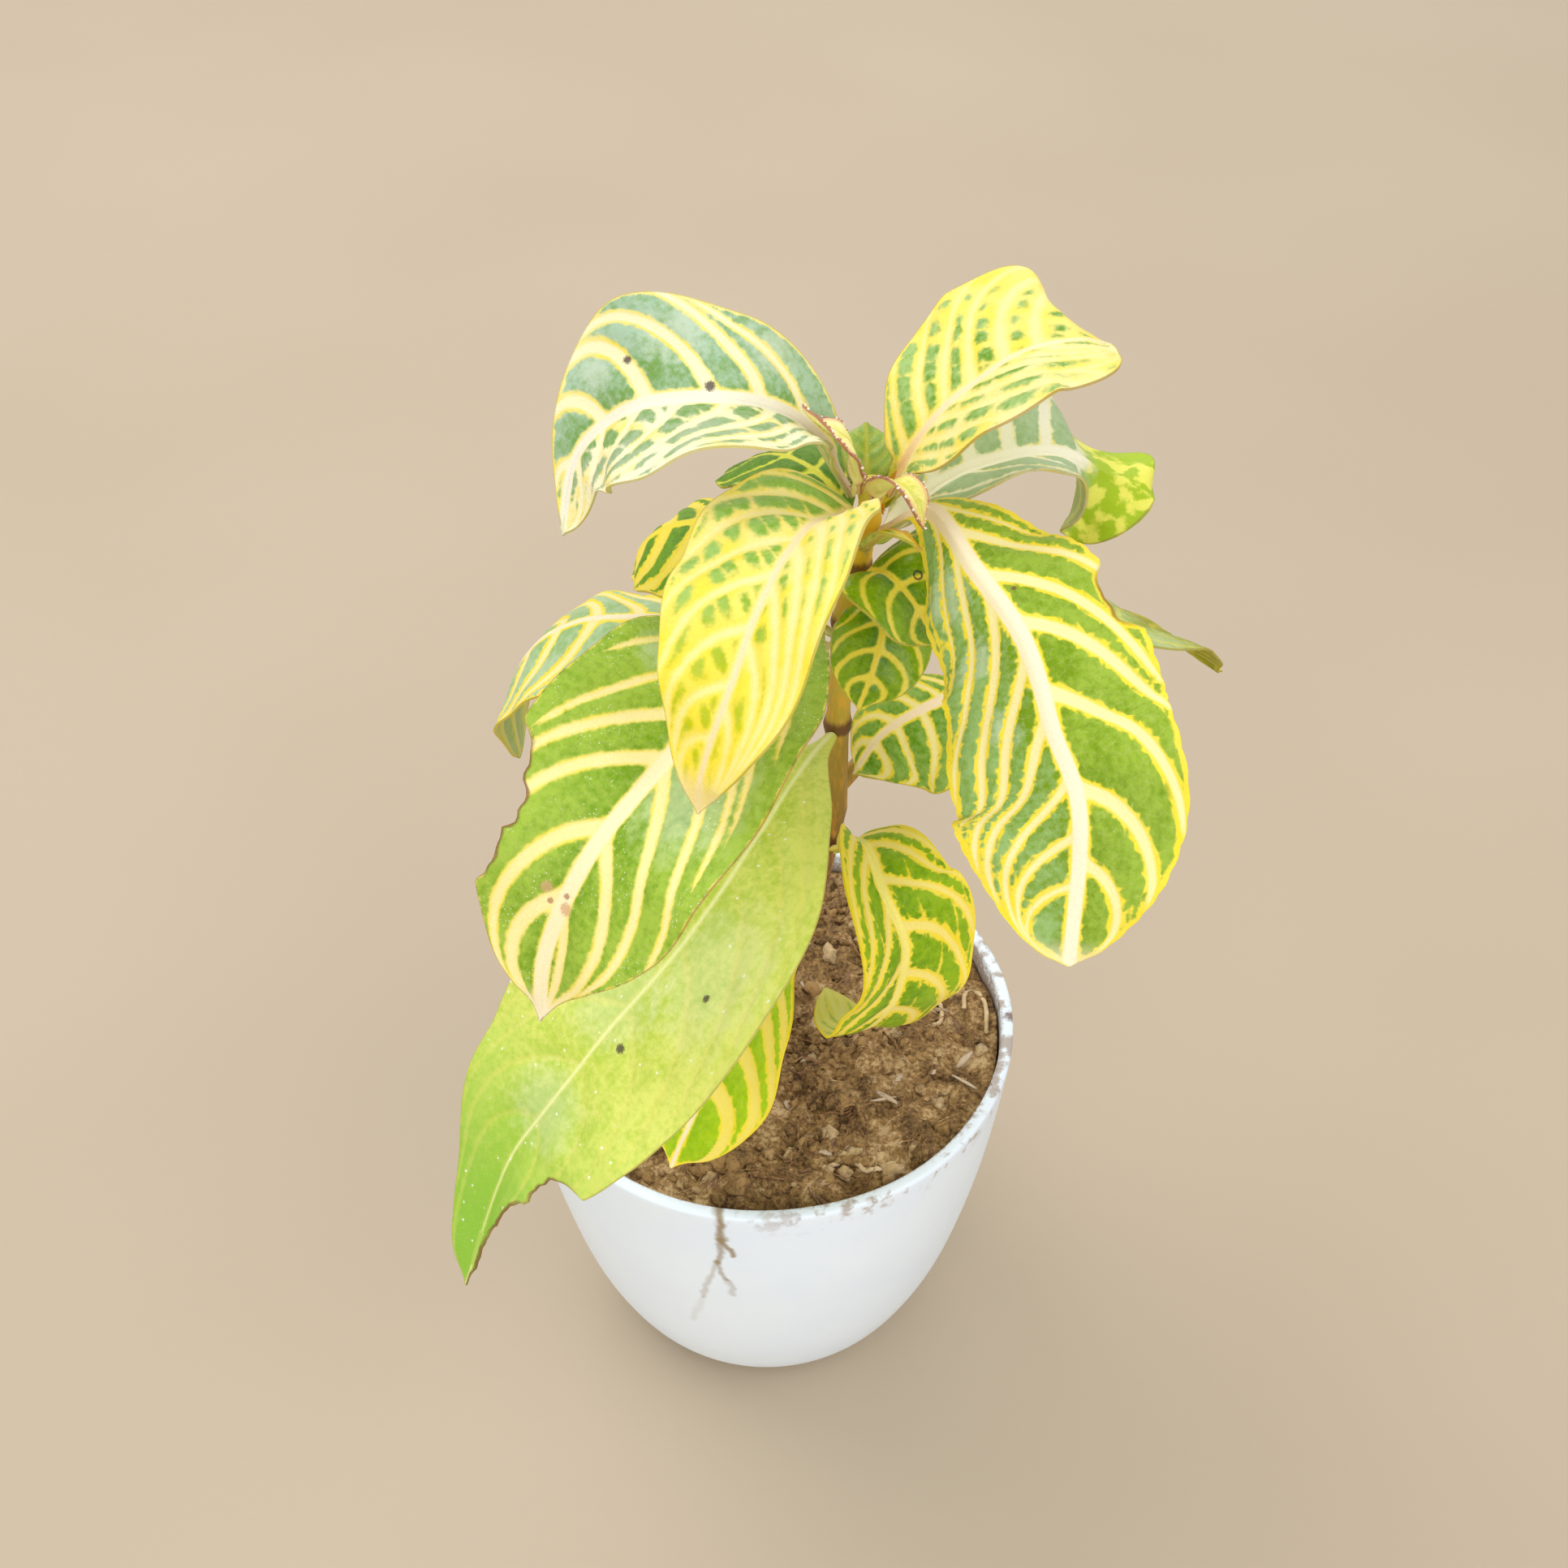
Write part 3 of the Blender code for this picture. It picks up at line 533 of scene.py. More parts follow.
CREAM = tone(248, 235, 172)
PALE_RIB = tone(246, 232, 200)
YELLOW = tone(244, 220, 30)
DEEP_GREEN = tone(100, 148, 14)
DARK_LEAF = tone(96, 146, 10)
LIME = tone(220, 228, 112)
BROWN = tone(120, 76, 50)
OLIVE_LINE = tone(160, 146, 76)
SPOT = tone(66, 46, 52)
PALE_SPOT = tone(246, 248, 226)
# GLARE is the pale grey-green of painted highlights on the leaves
GLARE = tone(216, 228, 206)
LOWER_FACE = tone(200, 212, 130)

# Leaf looks. Places, sizes and widths are in millimetres on the flattened leaf, across from the midrib
# and along from the stem. A key that ends in _left or _right is for that half of the leaf alone.
# left, right, veins: the laterals of one half or of both, as (start, rise, reach, width)
# bend: how straight a lateral runs, and the power of its curve towards the margin
# rib, rib_colour, rib_foot, ribbing: the midrib's widths at base and tip, colours, and how clear it is
# green, fading: the share of green at even stations along a half, and what the margin loses of it
# pitch, lean: the spacing of the green blots between two laterals, and how far their rows lean
# cell, deep: the lighter and the deeper green; cell_right, a greyer green for one half, is partly painted
# sheen
# band, halo, spurs: the yellow left by the margin and by the veins, and how far it juts into the green
# soft, loose: how soft the borders of the colours are, and how much they wander
# cream, yellow, creaminess, pale, ripe: the two vein colours, how creamy the veins' cores and their
# edges are, and whether the edges turn yellow towards the tip
# plain: how much of the veins the green hides
# line, lining, blush: the line on the margin, how strong it is, and a tinge inside it
# turning, end, tip: where the green, the whole leaf or its last part takes another colour
# glare, sheen: painted highlights, as pale patches at (across, along, size), and how strong they are
# dots, dew: scattered dots, and how clear scattered pale specks are
# ring, marks: a dark ring as (across, along, radius), and spots as (across, along, size, colour)
# gloss, shine: the roughness, and the strength of reflections
# crenation: the depth of the scallops in the margin
# under: the colour that the lower face is mixed with
LOOKS = {
    "leaf_upper_left": dict(
        left=comb([0.12, 0.22, 0.32, 0.42, 0.52, 0.62, 0.72, 0.82], rise=0.3, width=1.4),
        right=[(0.2, 0.28, 0.95, 1.6), (0.34, 0.21, 1, 1.9), (0.45, 0.23, 1, 2.1),
               (0.595, 0.12, 1, 2.1), (0.715, 0.07, 1, 2.0), (0.84, 0.05, 0.9, 1.5)],
        rib=(3.8, 1.8), rib_colour=tone(240, 236, 216), rib_foot=tone(228, 204, 188),
        bend_left=(0.3, 2.5), bend_right=(0.4, 2.5), pitch_left=3.2, pitch_right=4.4, lean_left=0.6,
        green_left=[0.95, 0.72, 0.62, 0.56, 0.56, 0.5], fading_left=0.05, fading_right=0.1,
        # cell_right: the right half's green, partly painted sheen
        cell=tone(164, 184, 146), cell_right=tone(168, 198, 170), deep=tone(120, 162, 84), band=0.4,
        band_left=0.5, halo=0.12, halo_left=0.1, spurs=0.2, cream=tone(246, 240, 198), creaminess=0.95,
        pale=0.5, pale_left=1.1, glare=[(9, 26, 5), (10, 40, 6), (8, 52, 4)],
        marks=[(2.0, 35, 1.1, SPOT), (7.5, 47, 0.8, SPOT)]),
    "leaf_upper_right": dict(
        left=[(0.06, 0.12, 0.9, 1.1), (0.17, 0.15, 1, 1.8), (0.29, 0.2, 1, 2.0), (0.39, 0.3, 1, 2.2),
              (0.5, 0.3, 1, 2.3), (0.63, 0.27, 1, 2.4), (0.74, 0.2, 1, 2.2)],
        right=[(0.12, 0.3, 0.95, 1.3), (0.22, 0.36, 0.95, 1.5), (0.32, 0.5, 0.95, 1.6), (0.42, 0.6, 0.9, 1.6),
               (0.53, 0.72, 0.8, 1.5), (0.64, 0.6, 0.7, 1.4), (0.74, 0.5, 0.6, 1.3)],
        rib=(2.8, 1.0), rib_colour=tone(246, 224, 186), rib_foot=tone(232, 184, 126), bend_right=(0.5, 2),
        pitch_left=3.6, pitch_right=4.4, lean_left=0.4, lean_right=0.8,
        green_left=[1.1, 0.98, 0.74, 0.56, 0.36, 0.1], green_right=[1.0, 0.74, 0.6, 0.52, 0.4, 0.1],
        fading_left=0.3, fading_right=0.1, cell=tone(160, 192, 112), deep=DEEP_GREEN, band=0.4,
        line=BROWN, halo=0.15, spurs=0.25, soft=0.9, creaminess=0.65, pale=0.45, pale_right=0.8),
    "leaf_yellow_front": dict(
        left=[(0.06, 0.4, 0.95, 2.0), (0.18, 0.44, 0.95, 2.2), (0.3, 0.46, 0.95, 2.4),
              (0.42, 0.42, 0.92, 2.4), (0.54, 0.36, 0.9, 2.2), (0.66, 0.28, 0.88, 2.0),
              (0.78, 0.2, 0.85, 1.6)],
        right=[(0.06, 0.14, 0.95, 1.5), (0.16, 0.17, 0.95, 1.9), (0.27, 0.2, 0.95, 2.1),
               (0.39, 0.22, 0.95, 2.2), (0.51, 0.23, 0.95, 2.2), (0.63, 0.21, 0.95, 2.0),
               (0.74, 0.17, 0.9, 1.8), (0.84, 0.1, 0.9, 1.4)],
        rib=(2.8, 1.4), rib_colour=tone(244, 218, 182), rib_foot=tone(242, 208, 180), ribbing=0.7,
        bend_left=(0.5, 2), bend_right=(0.3, 2.5), pitch_left=2.8, pitch_right=2.3, lean_left=0.85,
        lean_right=0.65, green_left=[1.2, 0.6, 0.34, 0.42, 0.44, 0.1],
        green_right=[1.1, 0.84, 0.54, 0.46, 0.52, 0.2], fading=0.02, cell=tone(154, 192, 96),
        deep=tone(128, 172, 46), band=0.8, halo=0.05, spurs=0.2, soft=1.0, creaminess=0.75, pale=0.65,
        ripe=True, tip=(0.9, tone(240, 218, 156)), turning=(40, 74, tone(190, 196, 8))),
    "leaf_right_large": dict(
        left=[(0.1, 0.18, 0.85, 1.1), (0.2, 0.25, 1, 2.0), (0.33, 0.25, 0.95, 2.2), (0.44, 0.21, 0.97, 2.2),
              (0.56, 0.21, 0.95, 2.2), (0.72, 0.15, 0.92, 2.0), (0.83, 0.13, 0.9, 1.7)],
        right=[(0.09, 0.36, 0.9, 0.9), (0.22, 0.42, 0.95, 1.5), (0.36, 0.4, 0.9, 1.8),
               (0.49, 0.36, 0.92, 1.7), (0.6, 0.3, 0.92, 1.6), (0.7, 0.25, 0.9, 1.4),
               (0.79, 0.18, 0.9, 1.2), (0.87, 0.1, 0.9, 0.9)],
        rib=(3.6, 2.2), rib_colour=tone(250, 238, 208), rib_foot=tone(244, 220, 194),
        bend_left=(0.5, 2.5), bend_right=(0.6, 2), green_left=[1, 1, 0.98], green_right=[1, 1, 0.95],
        # cell_right: the right half's green, partly painted sheen
        fading_left=0.25, fading_right=0.3, cell=tone(152, 182, 58), cell_right=tone(148, 184, 108),
        deep=tone(116, 150, 12), band=0.7, band_right=1.0, line=YELLOW, crenation=0.3, halo=0.08,
        spurs=0.5, creaminess=0.95, tip=(0.95, PALE_RIB), dew=0.35,
        glare=[(7, 30, 7), (9, 45, 6), (8, 60, 4)],
        marks=[(-3.0, 39, 0.55, BROWN), (-17.5, 33, 1.3, SPOT)]),
    "leaf_left_large": dict(
        left=[(0.16, 0.28, 0.8, 1.3), (0.25, 0.3, 0.8, 1.4), (0.33, 0.28, 0.84, 1.5), (0.42, 0.32, 0.93, 1.8),
              (0.53, 0.34, 0.9, 2.1), (0.66, 0.3, 0.92, 2.1), (0.79, 0.32, 0.75, 1.8)],
        right=[(0.18, 0.24, 0.85, 1.4), (0.3, 0.28, 0.85, 1.6), (0.43, 0.25, 0.97, 2.0),
               (0.52, 0.24, 0.95, 2.1), (0.65, 0.25, 0.95, 2.3), (0.77, 0.21, 0.9, 2.4)],
        rib=(3.0, 2.8), rib_colour=tone(248, 236, 192), bend_left=(0.55, 2), bend_right=(0.5, 2),
        cell=tone(160, 190, 66), deep=tone(118, 158, 28), band=0.1, line=BROWN, halo=0.03, spurs=0.1,
        soft=0.35, loose=0.9, creaminess=0.8, pale=0.5, tip=(0.93, PALE_RIB), dew=1.6,
        glare=[(-9, 60, 13), (-3, 50, 7), (12, 42, 6)], sheen=0.3,
        marks=[(-0.8, 86.5, 1.4, tone(214, 172, 128)), (0.0, 84.5, 0.7, tone(176, 128, 96)),
               (3.6, 84.5, 1.3, tone(200, 164, 116)), (2.2, 86.5, 0.7, tone(178, 130, 96))]),
    "leaf_lime_long": dict(
        veins=comb([0.12, 0.22, 0.32, 0.42, 0.52, 0.62, 0.72], rise=0.3, width=0.6), rib=(1.3, 0.6),
        rib_colour=tone(240, 244, 176), cell=LIME, deep=tone(186, 208, 76), band=0.05,
        line=tone(176, 156, 84), spurs=0.1, soft=0.6, pale=0.5, plain=0.8,
        turning=(78, 130, tone(140, 190, 60)), dots=PALE_SPOT, under=tone(178, 206, 92),
        glare=[(-9, 60, 15), (4, 74, 13), (0, 98, 11)], sheen=0.22,
        marks=[(-11, 63, 0.8, SPOT), (-4.3, 79, 1.1, SPOT)]),
    "leaf_low_front": dict(
        left=comb([0.2, 0.36, 0.52, 0.68], rise=0.3, width=3.0),
        right=comb([0.2, 0.36, 0.52, 0.68], rise=0.3, width=2.8), rib=(2.2, 1.0),
        cell=tone(172, 204, 20), deep=tone(146, 188, 4), line=YELLOW, halo=0.1, creaminess=0.25),
    "leaf_low_right": dict(
        left=comb([0.1, 0.22, 0.34, 0.46, 0.58, 0.7, 0.82, 0.92], rise=0.2, width=1.7),
        right=comb([0.12, 0.26, 0.4, 0.54, 0.68, 0.82], rise=0.3, width=1.4), rib=(2.6, 1.6),
        rib_colour=tone(248, 236, 130), bend_right=(0.5, 2), pitch=3.0, green_left=[0.95, 0.8, 0.8],
        green_right=[0.9, 0.8, 0.8], fading=0.1, cell=tone(146, 182, 18), deep=tone(110, 154, 0),
        band=0.6, line=YELLOW, halo=0.15, spurs=0.6, creaminess=0.45),
    "leaf_shoot_inner": dict(
        left=comb([0.14, 0.3, 0.46, 0.62, 0.78], width=1.4),
        right=comb([0.14, 0.3, 0.46, 0.62, 0.78], width=1.2), rib=(2.6, 1.2),
        rib_colour=tone(250, 228, 196), cell=tone(146, 180, 84), deep=DARK_LEAF, band=0.1, halo=0.05,
        creaminess=0.8),
    "leaf_shoot_outer": dict(
        veins=comb([0.14, 0.28, 0.42, 0.56, 0.7, 0.82], width=0.9), rib=(1.8, 0.8),
        rib_colour=tone(214, 216, 120), ribbing=0.5, cell=tone(180, 196, 130), deep=tone(156, 178, 84),
        band=0.05, creaminess=0.4, plain=0.7, turning=(42, 56, tone(150, 152, 16)),
        under=tone(156, 160, 40)),
    "leaf_back_left": dict(
        veins=comb([0.14, 0.28, 0.42, 0.56, 0.7, 0.82], width=2.0), rib=(2.0, 1.0),
        rib_colour=tone(240, 222, 60), fading=0.3, cell=tone(112, 160, 14), deep=tone(88, 138, 6),
        halo=0.3, creaminess=0.15),
    "leaf_back_top": dict(
        veins=comb([0.16, 0.34, 0.52, 0.7], width=0.5), rib=(1.1, 0.5), rib_colour=tone(214, 206, 70),
        cell=tone(100, 142, 20), deep=tone(74, 118, 6), band=0.05, spurs=0.1, creaminess=0.0,
        yellow=tone(206, 208, 40)),
    "leaf_right_back": dict(
        left=comb([0.12, 0.24, 0.36, 0.48, 0.6, 0.74, 0.86], rise=0.1, width=2.2),
        right=comb([0.16, 0.34, 0.52, 0.7], rise=0.3, width=0.8), rib=(4.2, 2.4),
        rib_colour=tone(244, 240, 214), cell=tone(176, 198, 154), deep=tone(152, 182, 126), band=0.25,
        cream=tone(238, 236, 206), creaminess=1.0, pale=1.0,
        end=(42, 48, tone(168, 196, 36), tone(232, 230, 96))),
    "leaf_left_behind": dict(
        veins=comb([0.1, 0.2, 0.3, 0.4, 0.5, 0.6, 0.7, 0.8], rise=0.22, width=2.0), rib=(2.2, 1.0),
        fading=0.3, cell=tone(180, 204, 162), deep=tone(148, 184, 116), band=0.4, halo=0.25,
        creaminess=0.85),
}
SMALL_LOOK = dict(
    veins=comb([0.14, 0.34, 0.54, 0.74], rise=0.3, width=0.7), rib=(1.5, 0.6),
    rib_colour=tone(240, 214, 66), ribbing=0.85, cell=tone(134, 170, 0), deep=tone(84, 132, 0),
    band=0.03, spurs=0.1, loose=0.3, creaminess=0.0, yellow=tone(236, 218, 50), gloss=0.2, shine=0.3)
RING_LOOK = dict(SMALL_LOOK, ring=(-3.6, 14.5, 0.66))
TIP_LOOK = dict(SMALL_LOOK, plain=0.8, ribbing=0.3, cell=tone(150, 182, 84), deep=tone(124, 160, 50))
YOUNG_LOOK = dict(SMALL_LOOK, rib=(2.6, 1.2), cell=tone(132, 156, 20), rib_colour=tone(232, 150, 40))
BUD_LOOK = dict(
    veins=comb([0.3, 0.6], width=0.5), rib=(0.8, 0.4), rib_colour=tone(206, 212, 96),
    cell=tone(250, 240, 150), deep=tone(208, 212, 84), band=0.05, line=tone(158, 98, 76), lining=0.75,
    blush=(1.3, tone(226, 158, 128)), spurs=0, loose=0.4, creaminess=0.0, pale=0.7, plain=0.6,
    under=tone(255, 248, 176))
# The open bud leaf's paler cream is partly its own colour and partly painted light that lifts the shade it
# sits in
OPEN_BUD_LOOK = dict(BUD_LOOK, cell=tone(255, 250, 190), deep=tone(246, 240, 146))
SMALL_LOOKS = {"bud_leaf_left": OPEN_BUD_LOOK, "bud_leaf_curled": BUD_LOOK, "leaf_small_upper": RING_LOOK,
               "leaf_young_arch": YOUNG_LOOK, "leaf_young_back": YOUNG_LOOK, "leaf_young_tip": TIP_LOOK}


# Leaf building. A grid is the millimetres between rows, and the columns of each half.

VEIN_JOINT = 1.3
LEAF_GRAIN_DEPTH = 0.09
LOWER_GLOSS = 0.6
LARGE_GRID = (0.7, 32)
SMALL_GRID = (0.45, 14)
LEAST_ROWS = 24
QUILT_HEIGHT = 0.55
QUILT_SPAN = 3
RIB_HEIGHT = 0.22
RIB_SPREAD = 1.1
STALK_SINK = 0.75
PUCKER_HEIGHT = 0.35
PUCKER_SCALE = 0.11
THICKNESS_STEPS = 40
LEAF_SMOOTH_ANGLE = 55


def leaf_finish(name, look, length, under=False):
    """A leaf's finish: yellow and cream along the veins and the midrib, green between them, and what its look
    adds at the margin, along the leaf and in spots, with painted highlights among them."""
    f = Finish(name)
    place = f.attribute("place")
    across, along, margin = f.parts(f.attribute("edge"))
    green, dry, share = f.parts(f.attribute("amounts"))
    side = across.maths("GREATER_THAN", across, 0)
    count, spacing, half = f.parts(f.blend(side, f.attribute("veins_left"), f.attribute("veins_right")))
    vein = (count - count.maths("ROUND", count)).size() * spacing - half
    rib_base, rib_tip = look["rib"]
    rib = across.size() - (along * ((rib_tip - rib_base) / length) + rib_base) * 0.5
    joined = vein.maths("SMOOTH_MIN", vein, rib, VEIN_JOINT)

    def sided(key, standard):
        """A number of the look that each half of the leaf may have for itself."""
        left = look.get(key + "_left", look.get(key, standard))
        right = look.get(key + "_right", look.get(key, standard))
        return left if left == right else side * (right - left) + left

    loose = look.get("loose", 1.0)
    wander = (f.cloud(place, 0.45, 3) - 0.5) * loose
    grain = f.cloud(place, 3.0, 3) - 0.5
    mottle = f.cloud(place, 0.9, 4, 0.6) - 0.5
    foot = across.size() + (count.maths("FRACT", count) - 0.5) * spacing * sided("lean", 0.0)
    lattice = f.node("CombineXYZ", {}, {0: foot / sided("pitch", 4.6), 1: count - 0.25}).outputs[0]
    blobs = f.cells(lattice, 1.0, randomness=0.5, space="2D")
    radius = green * 0.8 + (green - 0.85).most(0) * 5
    soft = look.get("soft", 0.25)
    whole = (radius - blobs + wander * 0.3 + mottle * 0.25).rise(-0.06 - soft * 0.08, 0.1 + soft * 0.1)
    halo = sided("halo", 0.0)
    spikes = f.cells(f.stretched(place, (0.4, 0.4, 0)), 1.0, "DISTANCE_TO_EDGE").fall(0.0, 0.2)
    spurs = spikes * (share * 0.5 + 0.6) * look.get("spurs", 0.35)
    cell = joined + wander * 0.7 + mottle * 0.25 - spurs - halo
    cell = cell.rise(-0.1 - soft * 0.2, 0.25 + soft * 0.6)
    cell = cell * whole
    cell = cell * (margin + wander * 1.4 + grain * 0.5 - sided("band", 0.3)).rise(-0.15, 0.25)
    broad = f.cloud(place, 0.13, 2) - 0.5
    depth = (share.fall(0.0, 0.75) * 0.6 + broad * 1.6 + wander * 1.2 + mottle * 1.8 + 0.15).most(0).least(1)
    net = f.cells(place, 0.8, "DISTANCE_TO_EDGE").fall(0.0, 0.06)
    greens = look["cell"]
    # One half's greyer, bluer green is partly the leaf's own colour and partly painted sheen
    if "cell_right" in look:
        greens = f.blend(side, greens, look["cell_right"])
    greens = f.blend(depth, greens, look["deep"])
    turning = 0.0
    if "turning" in look:
        start, end, shade = look["turning"]
        turning = (along + wander * 12).rise(start, end)
        greens = f.blend(turning, greens, shade)
    greens = f.blend(net * 0.09, greens, CREAM)
    # Painted highlights: pale patches of glare, as strong as the look's sheen
    for x, y, size in look.get("glare", ()):
        patch = (f.reach_from(place, (x, y, 0)) + wander * size + grain * 2).fall(size * 0.3, size)
        greens = f.blend(patch * look.get("sheen", 0.4), greens, GLARE)
    pale = (f.cloud(place, 0.16, 3).rise(0.3, 0.65) * 0.7 + 0.3) * sided("pale", 0.15)
    if look.get("ripe"):
        pale = pale * ((along / length).fall(0.3, 0.75) * 0.7 + 0.3)
    cream = look.get("cream", CREAM)
    yellow = f.blend(pale, look.get("yellow", YELLOW), cream)
    core = (joined + grain * 0.12 + wander * soft).fall(-0.15 - soft, 0.06 + soft * 0.4)
    stripe = f.blend(core * look.get("creaminess", 0.9), yellow, cream)
    plain = 1 - look.get("plain", 0.0)
    colour = f.blend(1 - (1 - cell) * plain, stripe, greens)
    ribbed = (rib + grain * 0.15).fall(-0.3 - soft * 0.5, 0.08 + soft * 0.2)
    if under:
        ribbed = ribbed * (1 - turning)
    rib_colour = look.get("rib_colour", PALE_RIB)
    if "rib_foot" in look:
        rib_colour = f.blend((along / length).fall(0.02, 0.4), rib_colour, look["rib_foot"])
    colour = f.blend(ribbed * look.get("ribbing", 0.95), colour, rib_colour)
    if "end" in look:
        start, end, shade, patch_shade = look["end"]
        patched = f.blend(f.cloud(place, 0.24, 3).rise(0.47, 0.57), shade, patch_shade)
        colour = f.blend((along + wander * 6).rise(start, end), colour, patched)
    if "tip" in look:
        start, shade = look["tip"]
        colour = f.blend((along / length + wander * 0.02).rise(start, start + 0.06) * 0.75, colour, shade)
    if "blush" in look:
        spread, shade = look["blush"]
        colour = f.blend((margin + wander).fall(0, spread) * 0.7, colour, shade)
    rim = (margin + grain * 0.2).fall(0.05, 0.26)
    colour = f.blend(rim * look.get("lining", 0.55), colour, look.get("line", OLIVE_LINE))
    crisp = dry * (margin + wander * 1.2).fall(0.2, 0.7)
    colour = f.blend(crisp * 0.8, colour, BROWN)
    if "dots" in look:
        dots = f.cells(place, 0.36).fall(0.06, 0.13)
        colour = f.blend(dots * 0.8, colour, look["dots"])
    if "dew" in look:
        specks = f.cells(place, 1.5).fall(0.1, 0.24) * f.cloud(place, 0.09, 2).rise(0.46, 0.62)
        colour = f.blend(specks * look["dew"] * 0.4, colour, PALE_SPOT)
    if "ring" in look:
        x, y, size = look["ring"]
        ring = (f.reach_from(place, (x, y, 0)) + grain * 0.4 - size).size().fall(0.08, 0.28)
        colour = f.blend(ring * 0.85, colour, SPOT)
    for x, y, size, shade in look.get("marks", ()):
        spot = (f.reach_from(place, (x, y, 0)) + grain * size).fall(size * 0.5, size)
        colour = f.blend(spot * 0.85, colour, shade)
    gloss = look.get("gloss", 0.42)
    if under:
        colour = f.blend((1 - turning) * 0.5, colour, look.get("under", LOWER_FACE))
        gloss = LOWER_GLOSS
    roughness = grain * 0.25 + (1 - cell) * 0.06 + gloss
    f.raised(grain * 0.5 + 0.5 - net * 0.3, LEAF_GRAIN_DEPTH)
    return f.surface(base_color=colour, roughness=roughness, specular_ior_level=look.get("shine", 0.16))


def fine_grid(name, columns, rows, points):
    """A sheet of points, added as a flat grid and drawn into its shape."""
    sheet = added(bpy.ops.mesh.primitive_grid_add, x_subdivisions=columns - 1, y_subdivisions=rows - 1,
                  size=1)
    sheet.name = name
    sheet.data.vertices.foreach_set("co", (points.reshape(-1, 3) * MM).ravel())
    sheet.data.update()
    return sheet


def add_attribute(mesh, name, *parts):
    """Three numbers at every point of a mesh."""
    stored = mesh.attributes.new(name, "FLOAT_VECTOR", "POINT")
    stored.data.foreach_set("vector", np.stack([part.ravel() for part in parts], axis=-1).ravel())


def apply_modifier(thing, kind, **settings):
    """Adds one modifier and applies it."""
    modifier = thing.modifiers.new(kind.title(), kind)
    for name, value in settings.items():
        setattr(modifier, name, value)
    bpy.context.view_layer.objects.active = thing
    bpy.ops.object.modifier_apply(modifier=modifier.name)


